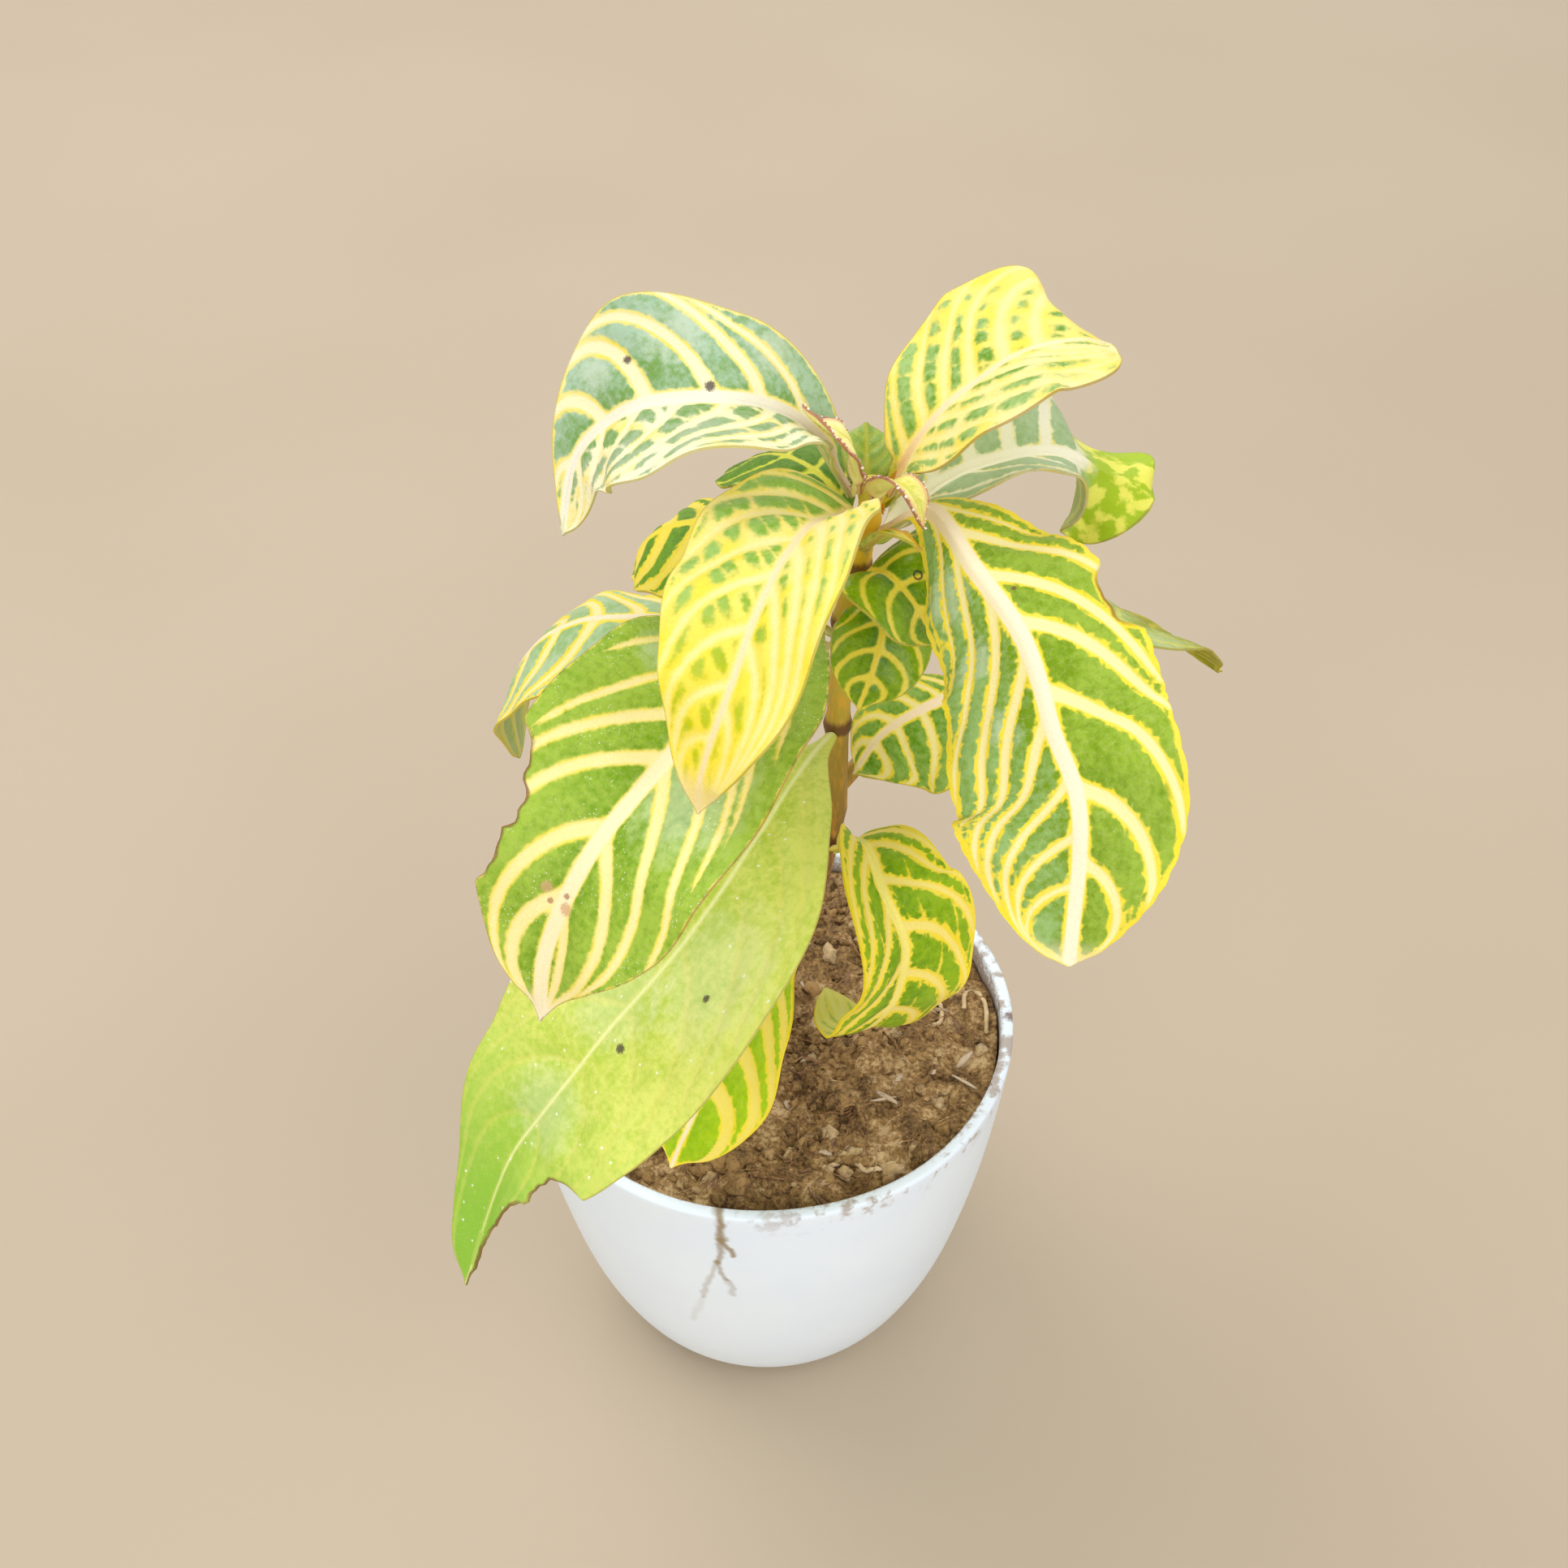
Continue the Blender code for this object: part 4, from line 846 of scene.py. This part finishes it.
def build_leaf(name, leaf, look, row_step, half_columns):
    """One leaf with its veins and quilting in its shape, its thickness, and an upper and a lower finish."""
    length = spine_through([leaf_base(leaf)] + leaf["spine"], np.array([0.0, 1.0]))[1]
    rows = max(LEAST_ROWS, round(length / row_step))
    shape = LeafShape(leaf, rows, half_columns, look.get("crenation", 0.0))
    rib_base, rib_tip = look["rib"]
    fields = {}
    for side in ("left", "right"):
        bend = look.get("bend_" + side, (0.35, 3))
        fields[side] = vein_field(shape, side, look.get(side, look.get("veins")), bend)

    def vein_gap(side, u, v, reach):
        count, spacing, half = fields[side]
        return np.abs(count - np.rint(count)) * spacing - half

    def rib_gap(side, u, v, reach):
        return u * reach - (rib_base + (rib_tip - rib_base) * v) / 2

    def margin_gap(side, u, v, reach):
        slope = np.abs(np.gradient(shape.reach[side], shape.v * shape.length))[:, None]
        return (1 - u) * reach / np.sqrt(1 + slope ** 2)

    def green_share(side, u, v, reach):
        fading = look.get("fading_" + side, look.get("fading", 0.0))
        stations = along_leaf(look.get("green_" + side, [1]), v.ravel()).reshape(v.shape)
        return stations - fading * np.clip((u - 0.45) / 0.55, 0, 1)

    def one_sided(side, field):
        """A half's numbers, with those of its midrib over the other half."""
        other = np.repeat(field[:, :1], len(shape.u), axis=1)
        return shape.whole(field, other) if side == "left" else shape.whole(other, field)

    vein, rib, margin = (shape.both(rule) for rule in (vein_gap, rib_gap, margin_gap))
    x = shape.both(lambda side, u, v, reach: u * reach * (-1 if side == "left" else 1))
    share = shape.both(lambda side, u, v, reach: u)
    v = shape.both(lambda side, u, v, reach: v)
    width = shape.both(lambda side, u, v, reach: reach)
    stalk = np.clip(1 - v / STALK_SHARE, 0, 1)
    bitten = shape.both(lambda side, u, v, reach: np.repeat(shape.bitten[side][:, None], u.shape[1], axis=1))
    fullness = np.clip(width / width.max() * 1.6, 0, 1) * (1 - stalk)
    quilt = np.sqrt(np.clip(np.minimum(vein, rib) / QUILT_SPAN, 0, 1)) * np.clip(margin / QUILT_SPAN, 0, 1)
    pucker = [noise.noise(Vector((a * PUCKER_SCALE, b * shape.length * PUCKER_SCALE, shape.length)))
              for a, b in zip(x.ravel(), v.ravel())]
    height = QUILT_HEIGHT * quilt * fullness
    height += RIB_HEIGHT * np.clip(1 - (np.abs(x) / (rib_base / 2)) ** 2, 0, 1) * (1 - stalk)
    height -= STALK_SINK * share ** 2 * stalk
    height += PUCKER_HEIGHT * fullness * np.array(pucker).reshape(x.shape)
    points = shape.points + shape.normals() * height[..., None]
    piece = fine_grid(name + "_dressed", 2 * half_columns + 1, rows, points)
    mesh = piece.data
    add_attribute(mesh, "place", x, v * shape.length, 0 * x)
    add_attribute(mesh, "edge", x, v * shape.length, margin)
    add_attribute(mesh, "amounts", shape.both(green_share), bitten, share)
    for side in ("left", "right"):
        add_attribute(mesh, "veins_" + side, *(one_sided(side, field) for field in fields[side]))
    narrow = np.minimum(shape.reach["left"], shape.reach["right"])[:, None]
    rib_part = np.exp(-(x / RIB_SPREAD) ** 2) * (1 - 0.4 * v)
    rib_part = rib_part * np.clip(margin / 1.2, 0.1, 1) * np.clip(narrow / 3, 0.1, 1)
    depth = BLADE_THICKNESS + (RIB_THICKNESS - BLADE_THICKNESS) * rib_part
    depth += (STALK_THICKNESS * np.sqrt(np.clip(1.05 - share ** 2, 0, 1)) - depth) * np.sqrt(stalk)
    thickness = piece.vertex_groups.new(name="thickness")
    steps = np.round(depth.ravel() / STALK_THICKNESS * THICKNESS_STEPS).astype(int)
    for step in np.unique(steps):
        thickness.add(np.flatnonzero(steps == step).tolist(), step / THICKNESS_STEPS, "REPLACE")
    mesh.materials.append(leaf_finish(name + "_upper", look, shape.length))
    mesh.materials.append(leaf_finish(name + "_lower", look, shape.length, under=True))
    apply_modifier(piece, "SOLIDIFY", thickness=STALK_THICKNESS * MM, offset=-1,
                   vertex_group=thickness.name, material_offset=1)
    bpy.ops.object.shade_smooth_by_angle(angle=math.radians(LEAF_SMOOTH_ANGLE))
    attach(piece, "root")
    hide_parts(name)
    return points


# Pot

POT_OUTSIDE = [(27, 0), (32, 2), (36, 6.5), (40, 15), (44.2, 28), (47.6, 44), (50.2, 60), (52, 76), (53, 87)]
POT_RIM_HEIGHT = 88
POT_RIM_WALL = 2.6
POT_RIM_ROUNDING = 0.5
POT_WALL = 1.8
POT_FLOOR = 2.4
POT_FLOOR_CORNER = 1
POT_SIDES = 160
DRAIN_HOLES = 5
DRAIN_HOLE_DIAMETER = 5
DRAIN_HOLE_CIRCLE = 16
POT_RIM_STEPS = 6
POT_OUTER_RINGS = 70
POT_INNER_RINGS = 60
POT_SMOOTH_ANGLE = 35
POT_WOBBLE = 0.25
POT_TOP_RADIUS = 52
CHIP_DEPTH = 0.55
CHIP_SPREAD = 1.1


def turned(name, profile, sides):
    """A closed body about Z, drawn out ring after ring from its first disc."""
    radius, height = profile[0]
    body = added(bpy.ops.mesh.primitive_circle_add, vertices=sides, radius=radius * MM, fill_type="TRIFAN",
                 location=(0, 0, height * MM))
    body.name = name
    bpy.ops.object.transform_apply(location=True, rotation=False, scale=False)
    bpy.ops.object.mode_set(mode="EDIT")
    bpy.ops.mesh.select_mode(type="EDGE")
    bpy.ops.mesh.select_all(action="SELECT")
    bpy.ops.mesh.region_to_loop()
    for (radius, height), (next_radius, next_height) in zip(profile, profile[1:]):
        lift = (0, 0, (next_height - height) * MM)
        bpy.ops.mesh.extrude_edges_move(TRANSFORM_OT_translate={"value": lift})
        ratio = next_radius / radius
        bpy.ops.transform.resize(value=(ratio, ratio, 1), center_override=(0, 0, next_height * MM))
    bpy.ops.mesh.merge(type="CENTER")
    bpy.ops.mesh.select_all(action="SELECT")
    bpy.ops.mesh.normals_make_consistent(inside=False)
    bpy.ops.object.mode_set(mode="OBJECT")
    return body


def finer(points, count):
    """A smooth profile through points, by its heights."""
    points = np.array(points, float)
    if points[0, 1] > points[-1, 1]:
        return [tuple(point) for point in reversed(finer(points[::-1], count))]
    heights = np.linspace(points[0, 1], points[-1, 1], count)
    return list(zip(smooth_through(points[:, 1], points[:, 0], heights), heights))


def pot_inside():
    """The inner face of the pot's wall as (radius, height), from the rim down."""
    inside = [(POT_OUTSIDE[-1][0] - POT_RIM_WALL, POT_RIM_HEIGHT - 1)]
    for radius, height in reversed(POT_OUTSIDE[2:-1]):
        inside.append((radius - POT_WALL, height))
    inside.append((POT_OUTSIDE[1][0] - POT_FLOOR_CORNER, POT_FLOOR))
    return inside


# Dried mud on the front wall, as straight runs of (start, end, half width, strength) in x and z
MUD_RUNS = [((-8.7, 88), (-8.3, 79.5), 0.7, 0.9), ((-8.3, 79.5), (-6.2, 73.4), 0.5, 0.85),
            ((-8.3, 79), (-9.6, 70), 0.55, 0.7), ((-9.6, 70), (-13, 53), 0.5, 0.4),
            ((-13, 53), (-15.4, 39), 0.6, 0.16), ((-9.4, 70.5), (-7.8, 63), 0.45, 0.6),
            ((-7.8, 63), (-6.4, 56.5), 0.6, 0.4)]


def mud_run(x, z, start, end, half, strength):
    """How strongly one straight run of dried mud marks the front wall."""
    run = (end[0] - start[0], end[1] - start[1])
    square = run[0] ** 2 + run[1] ** 2
    part = (((x - start[0]) * run[0] + (z - start[1]) * run[1]) / square).most(0).least(1)
    aside = x - start[0] - part * run[0]
    above = z - start[1] - part * run[1]
    gap = aside.maths("SQRT", aside * aside + above * above)
    return gap.fall(half * 0.2, half * 2.2) * strength


def plastic_finish():
    """White nursery pot plastic: a cool haze, faint moulding rings, dried mud, soil stains, and darker,
    browner plastic towards the bottom.
    """
    f = Finish("white_pot_plastic")
    place = f.object_place()
    x, y, z = f.parts(place)
    haze = f.cloud(place, 0.05, 3)
    fleck = f.cloud(place, 1.4, 4)
    colour = f.blend(haze, tone(238, 248, 255), tone(227, 239, 255))
    splash = (f.cloud(place, 0.2, 5, 0.62) + z.rise(78, 88) * 0.1).rise(0.6, 0.72)
    colour = f.blend(splash * z.rise(80, 87.5) * x.rise(-20, 20) * 0.7, colour, tone(150, 120, 84))
    bent = x + (f.cloud(place, 0.25, 2) - 0.5) * 3
    for start, end, half, strength in MUD_RUNS:
        run = mud_run(bent, z, start, end, half, strength) * y.fall(-30, -20) * (fleck * 0.6 + 0.7).least(1)
        colour = f.blend(run, colour, tone(146, 124, 84))
    inner = (x * x + y * y).fall(50.6 ** 2, 51.4 ** 2) * z.rise(70, 80)
    film = inner * (fleck + z.fall(83, 87.5) * 0.3).rise(0.5, 0.75)
    colour = f.blend(film * 0.75, colour, tone(150, 116, 80))
    nick = (f.reach_from(place, (52.3, -1, 87)) + fleck * 2.4).fall(1.9, 3.4)
    colour = f.blend(nick * 0.85, colour, tone(110, 80, 58))
    # Darker and browner towards the bottom
    foot = (z + fleck * 6).fall(2, 8)
    colour = f.blend(foot * 0.25, colour, tone(150, 128, 104))
    rings = z.maths("SINE", z * 2.6)
    f.raised(fleck * 0.5 + rings * 0.1, 0.05)
    return f.surface(base_color=colour, roughness=0.34 + fleck * 0.14 + film * 0.3)


def build_pot():
    """The thin white pot, turned, with drain holes and a small chip in its rim."""
    rim_radius = POT_OUTSIDE[-1][0]
    rim = []
    for step in range(POT_RIM_STEPS + 1):
        angle = math.pi * step / POT_RIM_STEPS
        rim.append((rim_radius - POT_RIM_WALL / 2 + math.cos(angle) * (POT_RIM_WALL / 2 - 0.05),
                    POT_RIM_HEIGHT - POT_RIM_ROUNDING * (1 - math.sin(angle))))
    profile = [(20, 0), (25.5, 0), (26.4, 0.15)] + finer(POT_OUTSIDE, POT_OUTER_RINGS) + rim
    profile += finer(pot_inside(), POT_INNER_RINGS) + [(26, POT_FLOOR), (20, POT_FLOOR), (10, POT_FLOOR)]
    pot = turned("pot_body", profile, POT_SIDES)
    for vert in pot.data.vertices:
        place = vert.co / MM
        chip = math.exp(-((place.y + 1) / CHIP_SPREAD) ** 2) if place.x > 0 and place.z > 86 else 0
        rise = (place.z / POT_RIM_HEIGHT) ** 2
        wobble = noise.noise(Vector((place.x, place.y, 0)) / 30) * POT_WOBBLE * rise
        vert.co.z -= chip * CHIP_DEPTH * MM
        vert.co.x *= 1 + wobble / POT_TOP_RADIUS
        vert.co.y *= 1 + wobble / POT_TOP_RADIUS
    for number in range(DRAIN_HOLES):
        angle = math.tau * number / DRAIN_HOLES
        place = (math.cos(angle) * DRAIN_HOLE_CIRCLE * MM, math.sin(angle) * DRAIN_HOLE_CIRCLE * MM, 0)
        cutter = added(bpy.ops.mesh.primitive_cylinder_add, vertices=32, radius=DRAIN_HOLE_DIAMETER / 2 * MM,
                       depth=0.02, location=place)
        apply_modifier(pot, "BOOLEAN", operation="DIFFERENCE", object=cutter)
        bpy.data.objects.remove(cutter)
    pot.data.materials.clear()
    pot.data.materials.append(plastic_finish())
    select_only(pot)
    bpy.ops.object.shade_smooth_by_angle(angle=math.radians(POT_SMOOTH_ANGLE))
    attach(pot, "root")
    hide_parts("pot")


# Soil

SOIL_LEVEL = 83
SOIL_CROWN = 2.0
SOIL_LUMP = 2.4
SOIL_LUMP_SIZE = 9
SOIL_FINE_SHARE = 0.4
SOIL_EDGE_GAP = 0.4
SOIL_RADIUS = POT_OUTSIDE[-2][0] - POT_WALL
SOIL_WALL_TOP = 74
SOIL_SIDES = 176
SOIL_RINGS = 64
SOIL_TONES = (tone(78, 54, 26), tone(172, 136, 84), tone(220, 192, 146))
CRUMB_SPACING = 2.6
CRUMB_HEIGHT = 1.6
CRUMBS = 620
CLODS = 60
CHIPS = 90
CRUMB_MARGIN = 2.2
STEM_CLEARANCE = 4.5
FIBRES = 260
FIBRE_KNOTS = 12
FIBRE_STEP = 0.9
FIBRE_MARGIN = 2.5


def soil_height(x, y):
    """The soil's surface: the solid's crown and lumps, with finer crumbs on them."""
    spread = min(1.0, math.hypot(x, y) / POT_OUTSIDE[-1][0])
    coarse = noise.noise(Vector((x, y, 0)) / SOIL_LUMP_SIZE)
    fine = noise.noise(Vector((x, y, 0)) / (SOIL_LUMP_SIZE * SOIL_FINE_SHARE))
    crumb = noise.turbulence(Vector((x, y, 4)) / CRUMB_SPACING, 4, True)
    height = SOIL_CROWN * (1 - spread ** 2) + SOIL_LUMP * (coarse + SOIL_FINE_SHARE * fine)
    return SOIL_LEVEL + height + CRUMB_HEIGHT * (crumb - 0.5)


def soil_finish(name, dark, middle, pale, tinted=False):
    """Damp potting soil in three tones, the palest in dry patches or by each copy's own tint."""
    f = Finish(name)
    place = f.object_place()
    lump = f.cloud(place, 0.16, 5, 0.6)
    fleck = f.cloud(place, 1.1, 5, 0.65)
    grit = f.cells(place, 0.9)
    colour = f.blend((lump * 0.5 + fleck * 0.5).rise(0.36, 0.58), dark, middle)
    if tinted:
        shade = f.parts(f.attribute("tint"))[0]
        colour = f.blend((shade + (fleck - 0.5) * 0.5).rise(0.45, 0.95), colour, pale)
    else:
        colour = f.blend((lump + (fleck - 0.5) * 0.8).rise(0.52, 0.72) * 0.8, colour, pale)
    f.raised(fleck * 0.6 + grit * 0.4, 0.5)
    return f.surface(base_color=colour, roughness=0.82 + fleck * 0.15)


def build_soil():
    """The soil body under a lumpy surface."""
    edge = SOIL_RADIUS - SOIL_EDGE_GAP
    wall = [(radius - TOUCH_GAP, height) for radius, height in reversed(pot_inside())
            if height < SOIL_WALL_TOP]
    wall[0] = (wall[0][0] - TOUCH_GAP, POT_FLOOR + TOUCH_GAP)
    profile = [(10, POT_FLOOR + TOUCH_GAP)] + wall + [(edge - 0.3, 79), (edge, SOIL_LEVEL - 1.5)]
    profile += [(edge * share, SOIL_LEVEL) for share in np.linspace(1, 0.02, SOIL_RINGS)]
    soil = turned("soil_body", profile, SOIL_SIDES)
    for vert in soil.data.vertices:
        x, y, z = vert.co / MM
        if z > SOIL_LEVEL - 0.01:
            vert.co.z = soil_height(x, y) * MM
    soil.data.materials.append(soil_finish("potting_soil", *SOIL_TONES))
    soil.data.shade_smooth()
    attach(soil, "root")
    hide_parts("soil")


def scattered(name, model, places, finish):
    """Copies of a small modelled shape, each turned, sized and set in place, as one piece."""
    base = np.empty(len(model.vertices) * 3)
    model.vertices.foreach_get("co", base)
    base = base.reshape(-1, 3)
    faces = [tuple(polygon.vertices) for polygon in model.polygons]
    points = []
    polygons = []
    tints = []
    for number, (place, turn, size, shade, rough) in enumerate(places):
        matrix = np.array(Euler(turn).to_matrix())
        start = Vector((number, 0, 0))
        uneven = np.array([1 + rough * noise.noise(Vector(point) * 1.4 + start) for point in base])
        points.append((base * uneven[:, None] * np.array(size)) @ matrix.T + np.array(place))
        polygons += [tuple(index + number * len(base) for index in face) for face in faces]
        tints += [shade] * len(base)
    mesh = bpy.data.meshes.new(name)
    mesh.from_pydata((np.concatenate(points) * MM).tolist(), [], polygons)
    tints = np.array(tints)
    add_attribute(mesh, "tint", tints, tints, tints)
    mesh.materials.append(finish)
    mesh.shade_smooth()
    piece = bpy.data.objects.new(name, mesh)
    bpy.context.scene.collection.objects.link(piece)
    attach(piece, "root")
    return piece


def modelled_crumb():
    """One crumb: a round lump, to be made uneven in each copy."""
    crumb = added(bpy.ops.mesh.primitive_ico_sphere_add, subdivisions=2, radius=1)
    mesh = crumb.data
    bpy.data.objects.remove(crumb)
    return mesh


def open_spot(chance, limit):
    """A random place on the soil, within a limit from its middle and clear of the stem."""
    stem_x, stem_y, _ = STEM[0][0]
    while True:
        x, y = chance.uniform(-limit, limit, 2)
        if math.hypot(x, y) <= limit and math.hypot(x - stem_x, y - stem_y) > STEM_CLEARANCE:
            return x, y


def build_crumbs():
    """Crumbs and clods of soil, and chips of bark, over the soil."""
    chance = np.random.default_rng(SEED)
    crumb = modelled_crumb()
    limit = SOIL_RADIUS - CRUMB_MARGIN
    crumbs = []
    for number in range(CRUMBS):
        x, y = open_spot(chance, limit)
        size = chance.uniform(0.5, 1.5) * (1.7 if chance.random() < 0.12 else 1)
        if number < CLODS:
            size = chance.uniform(1.6, 3.0)
        stretch = size * chance.uniform(0.6, 1.3, 3)
        crumbs.append(((x, y, soil_height(x, y) + size * 0.15), chance.uniform(0, 6, 3), stretch,
                       chance.uniform(0, 0.8), 1.1))
    soil = soil_finish("crumb_soil", *SOIL_TONES, tinted=True)
    scattered("soil_crumbs", crumb, crumbs, soil)
    chips = []
    for _ in range(CHIPS):
        x, y = open_spot(chance, limit)
        long = chance.uniform(1.0, 3.2)
        turn = (chance.uniform(-0.5, 0.5), chance.uniform(-0.5, 0.5), chance.uniform(0, 6))
        stretch = (long, chance.uniform(0.4, 0.9), 0.3)
        chips.append(((x, y, soil_height(x, y) + 0.5), turn, stretch, chance.uniform(0, 1), 0.5))
    bark = soil_finish("chip_bark", tone(92, 62, 42), tone(150, 116, 84), tone(206, 184, 156), tinted=True)
    scattered("bark_chips", crumb, chips, bark)


def drawn_tubes(name, lines, finish, sides=1):
    """Thin round strands along lines of (point, radius), as one piece."""
    curve = bpy.data.curves.new(name, "CURVE")
    curve.dimensions = "3D"
    curve.bevel_depth = MM
    curve.bevel_resolution = sides
    curve.use_fill_caps = True
    for line in lines:
        spline = curve.splines.new("POLY")
        spline.points.add(len(line) - 1)
        for knot, (point, radius) in zip(spline.points, line):
            knot.co = (*(Vector(point) * MM), 1)
            knot.radius = radius
    strands = bpy.data.objects.new(name, curve)
    bpy.context.scene.collection.objects.link(strands)
    select_only(strands)
    bpy.ops.object.convert(target="MESH")
    strands = bpy.context.object
    strands.data.materials.clear()
    strands.data.materials.append(finish)
    strands.data.shade_smooth()
    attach(strands, "root")
    return strands


# Courses of the pale roots, seen from above
PALE_ROOTS = [[(43, 4), (43.5, 8), (46, 9), (47.6, 5), (47.4, -2)],
              [(31, -1), (31, 3), (37.5, 6.5), (38, 2), (36, -1.5)],
              [(12, -38), (17, -36), (21, -39), (26, -37)]]
ROOT_KNOTS = 26
ROOT_RADIUS = 0.5
ROOT_LIFT = 0.7


def build_fibres():
    """Coir fibres and a few pale roots that lie over the soil."""
    chance = np.random.default_rng(SEED + 1)
    limit = SOIL_RADIUS - FIBRE_MARGIN
    fibres = []
    while len(fibres) < FIBRES:
        x, y = chance.uniform(-limit, limit, 2)
        heading = chance.uniform(0, math.tau)
        curl = chance.normal(0, 0.16)
        thick = chance.uniform(0.09, 0.24) * (2.4 if chance.random() < 0.1 else 1)
        line = []
        for step in range(FIBRE_KNOTS):
            if math.hypot(x, y) > limit:
                break
            lift = 0.5 + 1.1 * math.sin(math.pi * step / (FIBRE_KNOTS - 1)) * chance.uniform(0.3, 1)
            line.append(((x, y, soil_height(x, y) + lift), thick * (1 - step / 16)))
            heading += curl + chance.normal(0, 0.12)
            x += math.cos(heading) * FIBRE_STEP
            y += math.sin(heading) * FIBRE_STEP
        if len(line) > 5:
            fibres.append(line)
    coir = soil_finish("coir_fibre", tone(110, 74, 44), tone(168, 130, 84), tone(214, 190, 150))
    drawn_tubes("soil_fibres", fibres, coir)
    roots = []
    for plan in PALE_ROOTS:
        course = spine_through([(x, y, 0) for x, y in plan], np.linspace(0, 1, ROOT_KNOTS))[0]
        roots.append([((x, y, soil_height(x, y) + ROOT_LIFT), ROOT_RADIUS) for x, y, _ in course])
    pale = soil_finish("pale_root", tone(196, 166, 122), tone(224, 198, 154), tone(240, 222, 186))
    drawn_tubes("pale_roots", roots, pale, sides=2)


# Hairs

HAIR_STEP = 0.85
FIRST_HAIR = 1.2


def build_hairs(edges):
    """White and reddish bead hairs along the margins of the two leaves of the bud."""
    chance = np.random.default_rng(SEED + 2)
    beads = []
    for edge in edges:
        length = np.concatenate([[0], np.cumsum(np.linalg.norm(np.diff(edge, axis=0), axis=1))])
        for place in np.arange(FIRST_HAIR, length[-1], HAIR_STEP):
            point = [np.interp(place, length, edge[:, axis]) for axis in range(3)]
            size = chance.uniform(0.14, 0.26)
            beads.append((np.array(point) + chance.normal(0, 0.14, 3), chance.uniform(0, 6, 3),
                          (size, size, size * chance.uniform(1, 1.5)), chance.uniform(0, 1), 0.2))
    f = Finish("bead_hair")
    tint = f.parts(f.attribute("tint"))[0]
    colour = f.blend(tint.rise(0.4, 0.8), tone(186, 128, 120), tone(248, 236, 234))
    hairs = scattered("margin_hairs", modelled_crumb(), beads, f.surface(base_color=colour, roughness=0.35))


# Stem

def stem_finish():
    """Stem bark: orange and green above, browner below, dark at each node."""
    f = Finish("stem_bark")
    place = f.object_place()
    x, y, z = f.parts(place)
    streak = f.cloud(f.stretched(place, (1, 1, 0.22)), 1.4, 4)
    colour = f.blend(z.rise(120, 205), tone(132, 92, 52), tone(214, 190, 60))
    streaked = (streak + z.rise(190, 215) * 0.15).rise(0.42, 0.74) * (z.rise(150, 205) * 0.5 + 0.5)
    colour = f.blend(streaked, colour, tone(240, 168, 56))
    colour = f.blend((z + streak * 3).rise(205, 210), colour, tone(255, 212, 60))
    colour = f.blend((z + streak * 3).rise(218, 222) * 0.7, colour, tone(200, 208, 84))
    for node in STEM_NODES[:5]:
        dark = ((z - node).size() + streak * 1.6).fall(1.6, 3.0)
        colour = f.blend(dark * 0.85, colour, tone(92, 44, 30))
    f.raised(streak, 0.2)
    return f.surface(base_color=colour, roughness=0.42 + streak * 0.2)


def build_stem():
    """The main stem with its swollen nodes, and the side shoot."""
    lines = []
    for axis in (STEM, SIDE_SHOOT):
        line = []
        low, high = axis[0][0][2], axis[-1][0][2]
        for height in np.arange(low, high + 0.01, 1.0):
            point, radius = stem_at(axis, min(height, high))
            if axis is STEM:
                radius += node_swelling(height) * 1.15
            line.append((tuple(point), radius))
        lines.append(line)
    stem = drawn_tubes("stem_body", lines, stem_finish(), sides=6)
    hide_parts("stem")


# Stage, in metres, with each lamp as its place, size and power

FLOOR_SIZE = 6
LAMPS = [((-0.7, 0.5, 1.3), 1.2, 9), ((0.9, -0.6, 1.1), 1.4, 6), ((0.1, 1.2, 0.9), 1.0, 3),
         ((-0.3, -1.3, 0.6), 1.2, 7)]
LAMP_AIM = (0, 0, 0.15)
CAMERA_PLACE = (0.004, -0.276, 0.407)
CAMERA_TURN = (math.radians(47.5), 0, 0)
CAMERA_LENS = 45


def build_stage():
    """The pale floor, soft studio light, and the camera at the photograph's angle."""
    floor = added(bpy.ops.mesh.primitive_plane_add, size=FLOOR_SIZE)
    floor.name = "floor"
    f = Finish("pale_floor")
    haze = f.cloud(f.object_place(), 0.004, 2)
    colour = f.blend(haze, tone(180, 164, 140), tone(194, 178, 156))
    floor.data.materials.append(f.surface(base_color=colour, roughness=0.7))
    world = bpy.data.worlds.new("studio")
    world.use_nodes = True
    backdrop = world.node_tree.nodes["Background"]
    backdrop.inputs["Color"].default_value = (1, 0.985, 0.96, 1)
    backdrop.inputs["Strength"].default_value = 0.72
    bpy.context.scene.world = world
    bpy.context.scene.view_settings.view_transform = "Standard"
    for place, size, power in LAMPS:
        lamp = added(bpy.ops.object.light_add, type="AREA", location=place)
        lamp.data.shape = "DISK"
        lamp.data.size = size
        lamp.data.energy = power
        aim = Vector(LAMP_AIM) - Vector(place)
        lamp.rotation_euler = aim.to_track_quat("-Z", "Y").to_euler()
    camera = added(bpy.ops.object.camera_add, location=CAMERA_PLACE, rotation=CAMERA_TURN)
    camera.data.lens = CAMERA_LENS
    camera.data.sensor_width = 36
    camera.data.clip_start = 0.01
    bpy.context.scene.camera = camera


build_stage()
build_pot()
build_soil()
build_crumbs()
build_fibres()
build_stem()
bud_edges = []
for leaf_name, leaf_form in LEAVES.items():
    grid = LARGE_GRID if leaf_name in LOOKS else SMALL_GRID
    leaf_look = LOOKS.get(leaf_name) or SMALL_LOOKS.get(leaf_name, SMALL_LOOK)
    face = build_leaf(leaf_name, leaf_form, leaf_look, *grid)
    if leaf_name.startswith("bud_"):
        bud_edges += [face[:, 0], face[:, -1]]
build_hairs(bud_edges)
